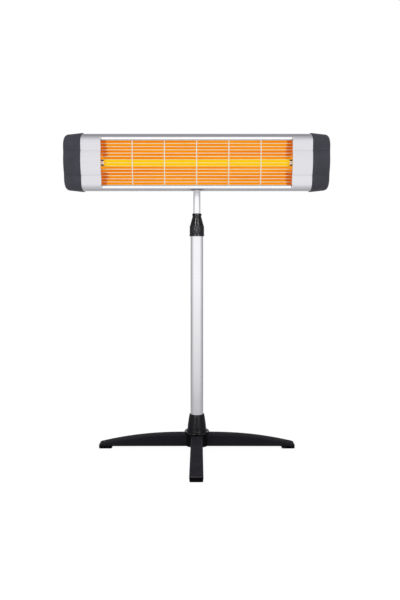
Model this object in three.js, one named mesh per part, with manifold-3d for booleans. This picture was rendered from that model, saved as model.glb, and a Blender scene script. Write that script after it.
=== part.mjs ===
// Infrared heater on a telescopic stand: four-leg moulded base, two-part pole with a twist lock,
// and a tilting head made of an aluminium profile, a reflector, a quartz lamp and a wire guard.
// Millimetres, +Z up, the front faces -Y, and the origin is on the floor under the pole.
import * as THREE from "three";
import { mergeVertices } from "three/addons/utils/BufferGeometryUtils.js";
import Module from "manifold-3d";

const wasm = await Module();
wasm.setup();

// Clearances
const SEAT = 0.3; // between pieces that rest on or sit in each other
const RUN = 0.6; // between pieces that turn or slide on each other
const THREAD = 0.05; // round a screw in the piece it bites into

// Base
const LEG_REACH = 326;
const LEG_WIDTH = 38.5;
const LEG_FLARE = 0.07; // how much wider the tip is than the root
const LEG_ROOT_HEIGHT = 47.2;
const LEG_TIP_HEIGHT = 14;
const LEG_UNDERSIDE = 8;
const LEG_WALL = 3;
const LEG_EDGE = 3;
const LEG_RIBS = 4;
const TENON_WIDTH = 14;
const TENON_HEAD_WIDTH = 22;
const TENON_HEAD_LENGTH = 5;
const TENON_LENGTH = 11;
const PAD_LENGTH = 43;
const PAD_WIDTH = 39.6;
const PAD_STUD_RADIUS = 4;
const HUB_SKIRT_RADIUS = 37;
const HUB_SKIRT_WALL = 4;
const HUB_BOTTOM = 10;
const HUB_FLANGE_RADIUS = 41.5;
const HUB_FLANGE_BOTTOM = 50;
const HUB_FLANGE_THICKNESS = 5;
const HUB_CONE_BOTTOM_RADIUS = 31.5;
const HUB_CONE_TOP_RADIUS = 24.8;
const HUB_TOP = 108;
const HUB_FLOOR = 22;
const COVER_THICKNESS = 3;
const COVER_SCREW_CIRCLE = 23;
const COVER_SCREW_RADIUS = 1.8;

// Pole
const PIVOT_HEIGHT = 898;
const OUTER_TUBE_RADIUS = 21.3;
const OUTER_TUBE_WALL = 1.5;
const MAST_SHOWN = 182;
const OUTER_TUBE_TOP = PIVOT_HEIGHT - MAST_SHOWN;
const INNER_TUBE_RADIUS = 12;
const INNER_TUBE_WALL = 1.2;
const MAST_INSIDE = 416;
const INNER_TUBE_BOTTOM = OUTER_TUBE_TOP - MAST_INSIDE;
const POLE_BOLT_RADIUS = 4;
const BUSH_DEPTH = 28;
const BUSH_RIM = 3;
const BUSH_NECK_RADIUS = 18.5;
const BUSH_NECK_HEIGHT = 20;
const GUIDE_LENGTH = 26;
const COLLAR_RADIUS = 23.9;
const COLLAR_BELOW_RIM = 10;
const COLLAR_BOTTOM = OUTER_TUBE_TOP - COLLAR_BELOW_RIM;
const COLLAR_RING = 8;
const COLLAR_GRIP = 27;
const COLLAR_CONE = 33;
const COLLAR_CONE_RADIUS = 14;
const COLLAR_LIP_RADIUS = 15.8;
const COLLAR_LIP = 8.5;
const COLLAR_FLUTES = 16;
const FLUTE_RADIUS = 1.6;
const COLLET_HEIGHT = 22;
const COLLET_SLOT = 1.6;

// Tilt joint
const HEAD_TILT = THREE.MathUtils.degToRad(8.6);
const PIVOT_TO_BACK = 34;
const PIVOT_BELOW_CENTRE = 55;
const TONGUE_WIDTH = 24;
const TONGUE_RADIUS = 12;
const SOCKET_RADIUS = 15;
const SOCKET_TOP = 18;
const SOCKET_LENGTH = 22;
const TILT_BOLT_RADIUS = 4;
const WASHER_THICKNESS = 1.2;
const BRACKET_THICKNESS = 2.5;
const BRACKET_WIDTH = 84;
const BRACKET_TOP_HEIGHT = 17;
const BRACKET_BOLT_SPACING = 60;
const KNOB_RADIUS = 19;
const KNOB_LENGTH = 18;
const KNOB_LOBES = 6;

// Head
const HEAD_LENGTH = 838;
const CAP_LENGTH = 50.5;
const PANEL_LENGTH = 68.5;
const CAP_INNER_EDGE = HEAD_LENGTH / 2 - CAP_LENGTH;
const CAP_HEIGHT = 188;
const CAP_DEPTH = 115;
const CAP_WALL = 2.6;
const CAP_DRAFT = 4.5;
const CAP_END_CORNER = 15;
const CAP_OVERLAP = 12;
const CAP_SCREW_RADIUS = 1.8;
const CAP_SCREW_HEIGHT = 42;
const SHELL_INSET = 3;
const SHELL_WALL = 2;
const BULGE_HALF = 39;
const BULGE_RISE = 7.5;
const FRONT_CORNER = 34;
const FRONT_CORNER_DEPTH = 55;
const BACK_CORNER = 40;
const WINDOW_HALF_HEIGHT = 79.5;
const WINDOW_HALF_LENGTH = CAP_INNER_EDGE - PANEL_LENGTH;
const LIP_WIDTH = 6;
const LIP_DEPTH = 22;
const PANEL_RETURN_DEPTH = 12;
const CHANNEL_HALF = 7;
const CHANNEL_DEPTH = 8;
const CHANNEL_SLOT = 7;
const VENTS = 14;
const VENT_MARGIN = 20;
const VENT_FIELD = WINDOW_HALF_LENGTH - VENT_MARGIN;
const VENT_LENGTH = 24;
const VENT_WIDTH = 3;
const VENT_ROW = 45;
const GLAND_TO_CAP = 38.5;
const GLAND_X = CAP_INNER_EDGE - GLAND_TO_CAP;
const GLAND_HEIGHT = -40;
const GLAND_RADIUS = 7;

// Reflector, lamp and guard
const SHEET = 1.2;
const REFLECTOR_TO_BACK = 27;
const REFLECTOR_DEPTH = CAP_DEPTH - REFLECTOR_TO_BACK;
const REFLECTOR_HALF_HEIGHT = 75;
const REFLECTOR_PAST_WINDOW = 2;
const REFLECTOR_HALF_LENGTH = WINDOW_HALF_LENGTH + REFLECTOR_PAST_WINDOW;
const LAMP_TO_REFLECTOR = 28;
const LAMP_DEPTH = REFLECTOR_DEPTH - LAMP_TO_REFLECTOR;
const LAMP_SLOT_HALF = 10;
const LAMP_END_GAP = 5;
const LAMP_END_RADIUS = 4.5;
const LAMP_PLUG = 8;
const QUARTZ_RADIUS = 9.5;
const QUARTZ_WALL = 1.5;
const FILAMENT_RADIUS = 1.2;
const FILAMENT_BEADS = 5;
const HOLDER_LENGTH = 12;
const HOLDER_HALF = 17;
const GUARD_WIRES = 15;
const GUARD_WIRE_PITCH = 10;
const GUARD_WIRE_RADIUS = 1.2;
const GUARD_SIDE_BARS = 2;
const GUARD_BAR_PITCH = WINDOW_HALF_LENGTH / (GUARD_SIDE_BARS + 0.97);
const GUARD_BAR_RADIUS = 1.5;
const GUARD_BAR_HALF = 77;
const GUARD_BOW = 12;

// Controls
const DIAL_RADIUS = 17;
const DIAL_HEIGHT = 9;
const SWITCH_NECK_RADIUS = 5;
const SWITCH_HALF = 12;
const SWITCH_LENGTH = 18;
const TERMINAL_LENGTH = 30;
const TERMINAL_HEIGHT = 30;
const TERMINAL_HALF = 8;
const TERMINAL_WELL_RADIUS = 2.6;
const TIP_SWITCH_LENGTH = 28;
const TIP_SWITCH_DEPTH = 12;
const TIP_SWITCH_HALF = 10;
const KNOB_BOSS_LENGTH = 6;
const DIAL_GRIP_WIDTH = 7;
const DIAL_GRIP_RISE = 3;
const BRACKET_BOLT_RADIUS = 3;

const silver = { color: 0xdadadd, roughness: 0.38, metalness: 0.85 };
const black = { color: 0x1d1d1f, roughness: 0.55, metalness: 0 };
const slate = { color: 0x4b4b53, roughness: 0.5, metalness: 0 };
const steel = { color: 0xb9bbbe, roughness: 0.35, metalness: 1 };
const rubber = { color: 0x161616, roughness: 0.9, metalness: 0 };
const gold = { color: 0xf08a1c, roughness: 0.3, metalness: 0.7 };
const cream = { color: 0xeee3cf, roughness: 0.45, metalness: 0.2 };
const ceramic = { color: 0xe9e7e2, roughness: 0.6, metalness: 0 };
const glow = { color: 0xffc803, roughness: 0.4, metalness: 0 };
const brass = { color: 0xc9a050, roughness: 0.35, metalness: 1 };

const group = new THREE.Group();
const head = new THREE.Group();
head.position.z = PIVOT_HEIGHT;
head.rotation.x = HEAD_TILT;
group.add(head);

// A closed geometry as a solid that can be joined and cut, with its faces turned outwards.
function solid(geometry) {
  const plain = geometry.clone();
  plain.deleteAttribute("normal");
  plain.deleteAttribute("uv");
  const merged = mergeVertices(plain, 1e-4);
  const corners = merged.index.array;
  const at = merged.attributes.position;
  const [a, b, c] = [new THREE.Vector3(), new THREE.Vector3(), new THREE.Vector3()];
  const kept = [];
  let volume = 0;
  for (let i = 0; i < corners.length; i += 3) {
    const [p, q, r] = [corners[i], corners[i + 1], corners[i + 2]];
    if (p === q || q === r || r === p) continue;
    kept.push(p, q, r);
    a.fromBufferAttribute(at, p);
    b.fromBufferAttribute(at, q);
    c.fromBufferAttribute(at, r);
    volume += a.dot(b.cross(c)) / 6;
  }
  if (volume < 0) kept.reverse();
  return new wasm.Manifold(
    new wasm.Mesh({ numProp: 3, vertProperties: at.array, triVerts: new Uint32Array(kept) }),
  );
}

function join(...solids) {
  return solids.reduce((whole, next) => whole.add(next));
}

function cut(body, ...tools) {
  return tools.reduce((left, tool) => left.subtract(tool), body);
}

function place(name, body, look, parent = group) {
  const raw = body.getMesh();
  const geometry = new THREE.BufferGeometry();
  geometry.setAttribute("position", new THREE.BufferAttribute(raw.vertProperties, 3));
  geometry.setIndex(new THREE.BufferAttribute(raw.triVerts, 1));
  geometry.computeVertexNormals();
  const mesh = new THREE.Mesh(geometry, new THREE.MeshStandardMaterial(look));
  mesh.name = name;
  parent.add(mesh);
}

function block(x0, x1, y0, y1, z0, z1) {
  const geometry = new THREE.BoxGeometry(x1 - x0, y1 - y0, z1 - z0);
  return solid(geometry.translate((x0 + x1) / 2, (y0 + y1) / 2, (z0 + z1) / 2));
}

// A profile of [radius, height] points turned about the Z axis.
function turned(profile, sides = 32) {
  const points = profile.map(([r, z]) => new THREE.Vector2(r, z));
  return new THREE.LatheGeometry(points, sides).rotateX(Math.PI / 2);
}

function rod(radius, z0, z1, sides = 16) {
  return solid(turned([[0, z0], [radius, z0], [radius, z1], [0, z1]], sides));
}

function pipe(inner, outer, z0, z1, sides = 32) {
  return solid(turned([[inner, z0], [outer, z0], [outer, z1], [inner, z1], [inner, z0]], sides));
}

function turnedAlongX(profile, sides = 24) {
  return solid(turned(profile, sides).rotateY(Math.PI / 2));
}

function rodAlongX(radius, x0, x1, y, z, sides = 16) {
  const profile = [[0, x0], [radius, x0], [radius, x1], [0, x1]];
  return turnedAlongX(profile, sides).translate([0, y, z]);
}

// A profile whose heights run towards -Y, for a piece that points back to front.
function turnedAlongY(profile, x, z, sides = 16) {
  return solid(turned(profile, sides).rotateX(Math.PI / 2)).translate([x, 0, z]);
}

function outline(points) {
  return new THREE.Shape(points.map(([u, v]) => new THREE.Vector2(u, v)));
}

// A [y, z] outline pulled along X.
function alongX(points, x0, x1) {
  const geometry = new THREE.ExtrudeGeometry(outline(points), { depth: x1 - x0, bevelEnabled: false });
  const turn = new THREE.Matrix4().set(0, 0, 1, x0, 1, 0, 0, 0, 0, 1, 0, 0, 0, 0, 0, 1);
  return solid(geometry.applyMatrix4(turn));
}

// An [x, y] outline pulled up along Z.
function alongZ(points, z0, z1) {
  const geometry = new THREE.ExtrudeGeometry(outline(points), { depth: z1 - z0, bevelEnabled: false });
  return solid(geometry.translate(0, 0, z0));
}

function arc(centreU, centreV, radiusU, radiusV, from, to, steps) {
  return Array.from({ length: steps + 1 }, (_, i) => {
    const angle = THREE.MathUtils.degToRad(from + ((to - from) * i) / steps);
    return [centreU + radiusU * Math.cos(angle), centreV + radiusV * Math.sin(angle)];
  });
}

function around(count, make, startAngle = 0) {
  return Array.from({ length: count }, (_, i) => make(startAngle + (i * 360) / count));
}

// Base: each leg is an inverted channel whose tenon hooks into a slot of the hub.
const quarterTurns = { right: 0, rear: 90, left: 180, front: 270 };
const tenonTop = LEG_ROOT_HEIGHT - 8;
const coverTop = HUB_BOTTOM + COVER_THICKNESS;
const screwTip = coverTop + 6;
const tenonBottom = coverTop + 2 * SEAT;
const rootRadius = HUB_SKIRT_RADIUS + SEAT;

function legTop(radius) {
  const span = LEG_REACH - HUB_SKIRT_RADIUS;
  const share = Math.max(0, (radius - HUB_SKIRT_RADIUS) / span);
  return LEG_ROOT_HEIGHT - (LEG_ROOT_HEIGHT - LEG_TIP_HEIGHT) * share ** 2.2;
}

function legProfile(inset) {
  const end = LEG_REACH - inset;
  const start = rootRadius - 2 * HUB_SKIRT_RADIUS * (inset ? 0 : 0.1) + inset;
  const steps = 8;
  const top = Array.from({ length: steps + 1 }, (_, i) => {
    const radius = start + ((end - LEG_EDGE - start) * i) / steps;
    return [radius, legTop(radius) - inset];
  });
  const nose = legTop(end - LEG_EDGE) - inset - LEG_EDGE / 2;
  return [[start, -LEG_EDGE], ...top, [end, nose], [end, -LEG_EDGE]];
}

// The leg's side profile pulled across its width, with its long edges bevelled.
function legForm(inset, edge) {
  const half = LEG_WIDTH / 2 - inset;
  const options = {
    depth: 2 * (half - edge),
    bevelEnabled: edge > 0,
    bevelThickness: edge,
    bevelSize: edge,
    bevelOffset: -edge,
    bevelSegments: 1,
  };
  const geometry = new THREE.ExtrudeGeometry(outline(legProfile(inset)), options);
  return solid(geometry.translate(0, 0, edge - half).rotateX(Math.PI / 2));
}

function tenon(grow) {
  const neck = TENON_WIDTH / 2 + grow;
  const wide = TENON_HEAD_WIDTH / 2 + grow;
  const back = rootRadius - TENON_LENGTH - grow;
  const shoulder = back + TENON_HEAD_LENGTH + 2 * grow;
  const plan = [
    [back, -wide], [shoulder, -wide], [shoulder, -neck], [rootRadius + LEG_WALL, -neck],
    [rootRadius + LEG_WALL, neck], [shoulder, neck], [shoulder, wide], [back, wide],
  ];
  return alongZ(plan, grow ? HUB_BOTTOM - 1 : tenonBottom, tenonTop + grow);
}

const padCentre = LEG_REACH - PAD_LENGTH / 2;
const padSeat = LEG_UNDERSIDE - SEAT;

function makeLeg() {
  const channel = cut(
    legForm(0, LEG_EDGE),
    legForm(LEG_WALL, 0),
    rod(rootRadius, -LEG_EDGE * 2, LEG_ROOT_HEIGHT * 2, 32),
  );
  const end = LEG_REACH - LEG_WALL;
  const rib = (x, thickness) =>
    block(x - thickness / 2, x + thickness / 2, 1 - LEG_WIDTH / 2, LEG_WIDTH / 2 - 1, -LEG_EDGE, legTop(x) - 1);
  const ribSpacing = (padCentre - rootRadius) / (LEG_RIBS + 1);
  const ribs = Array.from({ length: LEG_RIBS }, (_, i) => rib(rootRadius + ribSpacing * (i + 1), 2));
  const rootWall = cut(
    block(rootRadius - 2, rootRadius + LEG_WALL, 1 - LEG_WIDTH / 2, LEG_WIDTH / 2 - 1, 0, LEG_ROOT_HEIGHT - 1),
    rod(rootRadius, -1, LEG_ROOT_HEIGHT, 32),
  );
  const boss = cut(
    rod(PAD_STUD_RADIUS + 3, 0, legTop(padCentre) - 1, 12).translate([padCentre, 0, 0]),
    rod(PAD_STUD_RADIUS + SEAT, -1, legTop(padCentre) - LEG_WALL, 12).translate([padCentre, 0, 0]),
  );
  const below = block(0, end * 2, -LEG_WIDTH, LEG_WIDTH, -LEG_ROOT_HEIGHT, LEG_UNDERSIDE);
  const flared = cut(join(channel, rootWall, ...ribs, boss), below).warp((corner) => {
    corner[1] *= 1 + LEG_FLARE * Math.max(0, (corner[0] - rootRadius) / (LEG_REACH - rootRadius)) ** 2;
  });
  return flared.add(tenon(0));
}

function makePad() {
  const half = PAD_WIDTH / 2;
  const corner = 5;
  const plan = [
    ...arc(PAD_LENGTH / 2 - corner, half - corner, corner, corner, 0, 90, 3),
    ...arc(corner - PAD_LENGTH / 2, half - corner, corner, corner, 90, 180, 3),
    ...arc(corner - PAD_LENGTH / 2, corner - half, corner, corner, 180, 270, 3),
    ...arc(PAD_LENGTH / 2 - corner, corner - half, corner, corner, 270, 360, 3),
  ];
  const studTop = legTop(padCentre + 2 * PAD_STUD_RADIUS) - LEG_WALL - SEAT;
  const stud = rod(PAD_STUD_RADIUS, padSeat - 1, studTop, 12);
  return join(alongZ(plan, 0, padSeat), stud).translate([padCentre, 0, 0]);
}

for (const [side, angle] of Object.entries(quarterTurns)) {
  place(`leg_${side}`, makeLeg().rotate([0, 0, angle]), black);
  place(`foot_pad_${side}`, makePad().rotate([0, 0, angle]), rubber);
}

const flangeTop = HUB_FLANGE_BOTTOM + HUB_FLANGE_THICKNESS;
const tubeBottom = HUB_FLOOR + SEAT;

function makeHub() {
  const [coneFoot, coneHead] = [flangeTop + 2, HUB_TOP - 1.5];
  const rings = 4;
  const cone = Array.from({ length: rings + 1 }, (_, i) => [
    HUB_CONE_BOTTOM_RADIUS - (HUB_CONE_BOTTOM_RADIUS - HUB_CONE_TOP_RADIUS) * (i / rings) ** 1.5,
    coneFoot + ((coneHead - coneFoot) * i) / rings,
  ]);
  const form = solid(turned([
    [0, HUB_BOTTOM], [HUB_SKIRT_RADIUS - 1, HUB_BOTTOM], [HUB_SKIRT_RADIUS, HUB_BOTTOM + 1],
    [HUB_SKIRT_RADIUS, HUB_FLANGE_BOTTOM], [HUB_FLANGE_RADIUS, HUB_FLANGE_BOTTOM],
    [HUB_FLANGE_RADIUS, flangeTop - 1.5], [HUB_FLANGE_RADIUS - 1.5, flangeTop],
    [HUB_CONE_BOTTOM_RADIUS + 2, flangeTop], ...cone, [HUB_CONE_TOP_RADIUS - 1.5, HUB_TOP], [0, HUB_TOP],
  ], 32));
  const coverSeat = rod(HUB_SKIRT_RADIUS - HUB_SKIRT_WALL, HUB_BOTTOM - 1, coverTop + SEAT, 32);
  const socket = rod(OUTER_TUBE_RADIUS + SEAT, HUB_FLOOR, HUB_TOP + 1, 24);
  const boltHole = rod(POLE_BOLT_RADIUS + SEAT, 0, HUB_FLOOR + 1, 16);
  const slots = around(4, (angle) => tenon(SEAT).rotate([0, 0, angle]));
  const pilots = around(4, (angle) => coverHole(COVER_SCREW_RADIUS + THREAD, HUB_BOTTOM - 1, screwTip + 1, angle), 45);
  return cut(form, coverSeat, socket, boltHole, ...slots, ...pilots);
}

function coverHole(radius, z0, z1, angle) {
  return rod(radius, z0, z1, 8).translate([COVER_SCREW_CIRCLE, 0, 0]).rotate([0, 0, angle]);
}

const screwHeadRadius = 2 * COVER_SCREW_RADIUS;
const screwHeadHeight = 2;
place("hub_body", makeHub(), black);
const coverRadius = HUB_SKIRT_RADIUS - HUB_SKIRT_WALL - SEAT;
const coverHoles = around(4, (angle) => coverHole(COVER_SCREW_RADIUS + SEAT, 0, 2 * coverTop, angle), 45);
const headRecess = rod(POLE_BOLT_RADIUS * 2.2, 0, 2 * coverTop, 16);
place("hub_bottom_cover", cut(rod(coverRadius, HUB_BOTTOM, coverTop, 32), headRecess, ...coverHoles), black);
around(4, (angle) => angle, 45).forEach((angle, i) => {
  const top = HUB_BOTTOM - SEAT;
  const shank = rod(COVER_SCREW_RADIUS, top - screwHeadHeight / 2, screwTip, 8);
  const headOfScrew = cut(
    rod(screwHeadRadius, top - screwHeadHeight, top, 8),
    block(-screwHeadRadius, screwHeadRadius, -0.5, 0.5, top - screwHeadHeight - 1, top - 1),
  );
  const screw = join(shank, headOfScrew).translate([COVER_SCREW_CIRCLE, 0, 0]);
  place(`cover_screw_${i + 1}`, screw.rotate([0, 0, angle]), steel);
});

// Pole: the outer tube stands in the hub and is held by a bolt into its end plug.
const tubeBore = OUTER_TUBE_RADIUS - OUTER_TUBE_WALL;
const plugTop = tubeBottom + 30;
place("outer_tube", pipe(tubeBore, OUTER_TUBE_RADIUS, tubeBottom, OUTER_TUBE_TOP, 24), silver);
place("pole_end_plug", cut(
  rod(tubeBore - SEAT, tubeBottom, plugTop, 20),
  rod(POLE_BOLT_RADIUS + THREAD, tubeBottom - 1, plugTop + 1, 16),
), black);
place("pole_bolt", join(
  rod(POLE_BOLT_RADIUS, coverTop - 1, plugTop - 4, 16),
  rod(POLE_BOLT_RADIUS * 1.7, coverTop - POLE_BOLT_RADIUS, coverTop, 6),
), steel);

// Twist lock: the collar screws onto the bush and squeezes the split collet round the inner tube.
const bushBore = INNER_TUBE_RADIUS + RUN;
const rimTop = OUTER_TUBE_TOP + SEAT + BUSH_RIM;
const neckTop = rimTop + BUSH_NECK_HEIGHT;
place("lock_bush", solid(turned([
  [bushBore, OUTER_TUBE_TOP - BUSH_DEPTH], [tubeBore - SEAT, OUTER_TUBE_TOP - BUSH_DEPTH],
  [tubeBore - SEAT, OUTER_TUBE_TOP + SEAT], [OUTER_TUBE_RADIUS - SEAT, OUTER_TUBE_TOP + SEAT],
  [OUTER_TUBE_RADIUS - SEAT, rimTop], [BUSH_NECK_RADIUS, rimTop], [BUSH_NECK_RADIUS, neckTop],
  [bushBore, neckTop], [bushBore, OUTER_TUBE_TOP - BUSH_DEPTH],
], 24)), black);

const collarWallTop = COLLAR_BOTTOM + COLLAR_RING + COLLAR_GRIP;
const coneTop = collarWallTop + COLLAR_CONE;
const collarTop = coneTop + COLLAR_LIP;
const collarBore = OUTER_TUBE_RADIUS + RUN;
const lipBore = INNER_TUBE_RADIUS + RUN;
const colletBottom = neckTop + SEAT;
const colletTop = colletBottom + COLLET_HEIGHT;

// The cone's bore, which the collet follows with a running gap.
function coneBore(z) {
  const share = THREE.MathUtils.clamp((z - collarWallTop) / COLLAR_CONE, 0, 1);
  const wall = 2.2;
  const outside = THREE.MathUtils.lerp(COLLAR_RADIUS, COLLAR_CONE_RADIUS, share);
  return Math.max(outside - wall, lipBore);
}

function makeCollar() {
  const body = solid(turned([
    [collarBore, COLLAR_BOTTOM], [COLLAR_RADIUS - 0.6, COLLAR_BOTTOM], [COLLAR_RADIUS, COLLAR_BOTTOM + 0.6],
    [COLLAR_RADIUS, collarWallTop], [COLLAR_CONE_RADIUS, coneTop], [COLLAR_LIP_RADIUS, coneTop + 1.5],
    [COLLAR_LIP_RADIUS, collarTop - 1.2], [COLLAR_LIP_RADIUS - 1.2, collarTop], [lipBore, collarTop],
    [lipBore, coneTop - 4], [coneBore(coneTop - 4), coneTop - 4], [coneBore(colletTop), colletTop],
    [coneBore(collarWallTop), collarWallTop], [collarBore, rimTop + 2], [collarBore, COLLAR_BOTTOM],
  ], 24));
  const flutes = around(COLLAR_FLUTES, (angle) =>
    rod(FLUTE_RADIUS, COLLAR_BOTTOM + COLLAR_RING, collarWallTop - 2, 5)
      .translate([COLLAR_RADIUS + FLUTE_RADIUS * 0.55, 0, 0]).rotate([0, 0, angle]));
  return cut(body, ...flutes);
}
place("twist_collar", makeCollar(), black);

const colletRim = coneBore(colletTop) - RUN;
const colletFoot = Math.min(coneBore(colletBottom + 6) - RUN, BUSH_NECK_RADIUS);
const colletSlots = around(4, (angle) =>
  block(0, COLLAR_RADIUS, -COLLET_SLOT / 2, COLLET_SLOT / 2, colletBottom + 6, colletTop + 1).rotate([0, 0, angle]), 45);
place("split_collet", cut(solid(turned([
  [INNER_TUBE_RADIUS + SEAT, colletBottom], [colletFoot, colletBottom], [colletFoot, colletBottom + 6],
  [colletRim, colletTop], [INNER_TUBE_RADIUS + SEAT, colletTop], [INNER_TUBE_RADIUS + SEAT, colletBottom],
], 24)), ...colletSlots), ceramic);

const innerTubeTop = PIVOT_HEIGHT - SOCKET_TOP - SEAT;
place("inner_tube", pipe(INNER_TUBE_RADIUS - INNER_TUBE_WALL, INNER_TUBE_RADIUS, INNER_TUBE_BOTTOM, innerTubeTop, 24), silver);
const guideShoulder = INNER_TUBE_BOTTOM - SEAT;
place("tube_guide", solid(turned([
  [4, guideShoulder - 12], [tubeBore - RUN, guideShoulder - 12], [tubeBore - RUN, guideShoulder],
  [INNER_TUBE_RADIUS - INNER_TUBE_WALL - SEAT, guideShoulder],
  [INNER_TUBE_RADIUS - INNER_TUBE_WALL - SEAT, guideShoulder + GUIDE_LENGTH], [4, guideShoulder + GUIDE_LENGTH],
  [4, guideShoulder - 12],
], 20)), black);

// Tilt joint: a socket on the inner tube carries a tongue between the two ears of a steel bracket.
const socketBottom = SOCKET_TOP + SOCKET_LENGTH;
const socketBore = INNER_TUBE_RADIUS + SEAT;
const tongueHalf = TONGUE_WIDTH / 2;
function makeSocket() {
  const tongue = alongX([
    [-TONGUE_RADIUS, -SOCKET_TOP - 6], [TONGUE_RADIUS, -SOCKET_TOP - 6],
    ...arc(0, 0, TONGUE_RADIUS, TONGUE_RADIUS, 0, 180, 12),
  ], -tongueHalf, tongueHalf);
  const collar = solid(turned([
    [0, -socketBottom], [SOCKET_RADIUS - 0.8, -socketBottom], [SOCKET_RADIUS, 0.8 - socketBottom],
    [SOCKET_RADIUS, -SOCKET_TOP - 3], [TONGUE_RADIUS, -SOCKET_TOP + 2], [0, -SOCKET_TOP + 2],
  ], 24));
  return cut(
    join(collar, tongue),
    rod(socketBore, -socketBottom - 1, -SOCKET_TOP, 24),
    rodAlongX(TILT_BOLT_RADIUS + SEAT, -SOCKET_RADIUS * 2, SOCKET_RADIUS * 2, 0, 0, 16),
  ).translate([0, 0, PIVOT_HEIGHT]);
}
place("tilt_socket", makeSocket(), black);

const earInside = tongueHalf + WASHER_THICKNESS + 2 * SEAT;
const earOutside = earInside + BRACKET_THICKNESS;
const boltHeadHeight = 4;
for (const [side, sign] of [["right", 1], ["left", -1]]) {
  const washer = turnedAlongX([
    [TILT_BOLT_RADIUS + SEAT, 0], [TONGUE_RADIUS - 1, 0], [TONGUE_RADIUS - 1, WASHER_THICKNESS],
    [TILT_BOLT_RADIUS + SEAT, WASHER_THICKNESS], [TILT_BOLT_RADIUS + SEAT, 0],
  ], 16).translate([sign > 0 ? tongueHalf + SEAT : -tongueHalf - SEAT - WASHER_THICKNESS, 0, 0]);
  place(`friction_washer_${side}`, washer, rubber, head);
}

// Head section: depths run back from the frontmost line of the end caps, heights from mid-height.
const yAt = (depth) => depth - CAP_DEPTH + SHELL_INSET - PIVOT_TO_BACK;
const zAt = (height) => height + PIVOT_BELOW_CENTRE;
const shoulder = CAP_HEIGHT / 2 - FRONT_CORNER;
const backCornerDepth = CAP_DEPTH - BACK_CORNER;

function frontDepth(height, inset) {
  const h = Math.abs(height);
  if (h < BULGE_HALF) return inset + BULGE_RISE * (h / BULGE_HALF) ** 2;
  return inset + BULGE_RISE;
}

// The closed outline of the head, moved inwards by an inset.
function section(inset) {
  const half = FRONT_CORNER - inset;
  const front = FRONT_CORNER_DEPTH - BULGE_RISE - inset;
  const bulge = Array.from({ length: 9 }, (_, i) => {
    const height = BULGE_HALF * (1 - i / 4);
    return [frontDepth(height, inset), height];
  });
  const frontTop = arc(FRONT_CORNER_DEPTH, shoulder, front, half, 90, 180, 5);
  const backTop = arc(backCornerDepth, shoulder, BACK_CORNER - inset, half, 0, 90, 5);
  const upper = [...backTop, ...frontTop];
  const lower = upper.map(([depth, height]) => [depth, -height]).reverse();
  return [...upper, ...bulge, ...lower].map(([depth, height]) => [yAt(depth), zAt(height)]);
}

const bodyHalf = CAP_INNER_EDGE + CAP_OVERLAP;
const wallInset = SHELL_INSET + SHELL_WALL;
const backFace = yAt(CAP_DEPTH - SHELL_INSET);
const backInside = backFace - SHELL_WALL;
const lipBack = LIP_DEPTH + SHELL_WALL;

// Housing: an open aluminium profile with folded lips, a bolt channel and vent slots in its back.
function makeHousing() {
  const tube = cut(alongX(section(SHELL_INSET), -bodyHalf, bodyHalf),
    alongX(section(wallInset), -bodyHalf - 1, bodyHalf + 1));
  const mouth = block(-bodyHalf - 1, bodyHalf + 1, yAt(-1), yAt(FRONT_CORNER_DEPTH), zAt(-WINDOW_HALF_HEIGHT), zAt(WINDOW_HALF_HEIGHT));
  const lip = (sign) => {
    const [inner, outer] = [sign * (WINDOW_HALF_HEIGHT - LIP_WIDTH), sign * (WINDOW_HALF_HEIGHT + SHELL_WALL)];
    return block(-WINDOW_HALF_LENGTH, WINDOW_HALF_LENGTH, yAt(LIP_DEPTH), yAt(lipBack),
      zAt(Math.min(inner, outer)), zAt(Math.max(inner, outer)));
  };
  const channel = cut(
    block(-bodyHalf, bodyHalf, backInside - CHANNEL_DEPTH, backInside + 0.5, zAt(-CHANNEL_HALF - SHELL_WALL), zAt(CHANNEL_HALF + SHELL_WALL)),
    block(-bodyHalf - 1, bodyHalf + 1, backInside - CHANNEL_DEPTH + SHELL_WALL, backInside, zAt(-CHANNEL_HALF), zAt(CHANNEL_HALF)),
  );
  const slot = block(-bodyHalf - 1, bodyHalf + 1, backInside - 1, backFace + 1, zAt(-CHANNEL_SLOT / 2), zAt(CHANNEL_SLOT / 2));
  const vents = [];
  const pitch = (2 * VENT_FIELD) / VENTS;
  for (const height of [VENT_ROW, -VENT_ROW])
    for (let i = 0; i < VENTS; i++) {
      const x = -VENT_FIELD + pitch * (i + 0.5);
      if (Math.abs(x) < BRACKET_WIDTH / 2 + VENT_LENGTH / 2) continue;
      vents.push(block(x - VENT_LENGTH / 2, x + VENT_LENGTH / 2, backInside - 1, backFace + 1,
        zAt(height - VENT_WIDTH / 2), zAt(height + VENT_WIDTH / 2)));
    }
  const shell = join(cut(tube, mouth), lip(1), lip(-1), channel);
  return cut(shell, slot, ...vents, ...capScrewHoles(CAP_SCREW_RADIUS + THREAD), glandHole);
}

const capScrewX = CAP_INNER_EDGE + CAP_OVERLAP / 2;
function capScrewHoles(radius) {
  return [1, -1].flatMap((side) => [1, -1].map((up) =>
    turnedAlongY([[0, -yAt(CAP_DEPTH) - 9], [radius, -yAt(CAP_DEPTH) - 9], [radius, -backInside + 3], [0, -backInside + 3]],
      side * capScrewX, zAt(up * CAP_SCREW_HEIGHT), 8)));
}
const glandHole = turnedAlongY([[0, -backFace - 4], [GLAND_RADIUS + SEAT, -backFace - 4],
  [GLAND_RADIUS + SEAT, -backInside + 4], [0, -backInside + 4]], GLAND_X, zAt(GLAND_HEIGHT), 20);
place("housing_profile", makeHousing(), silver, head);

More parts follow.
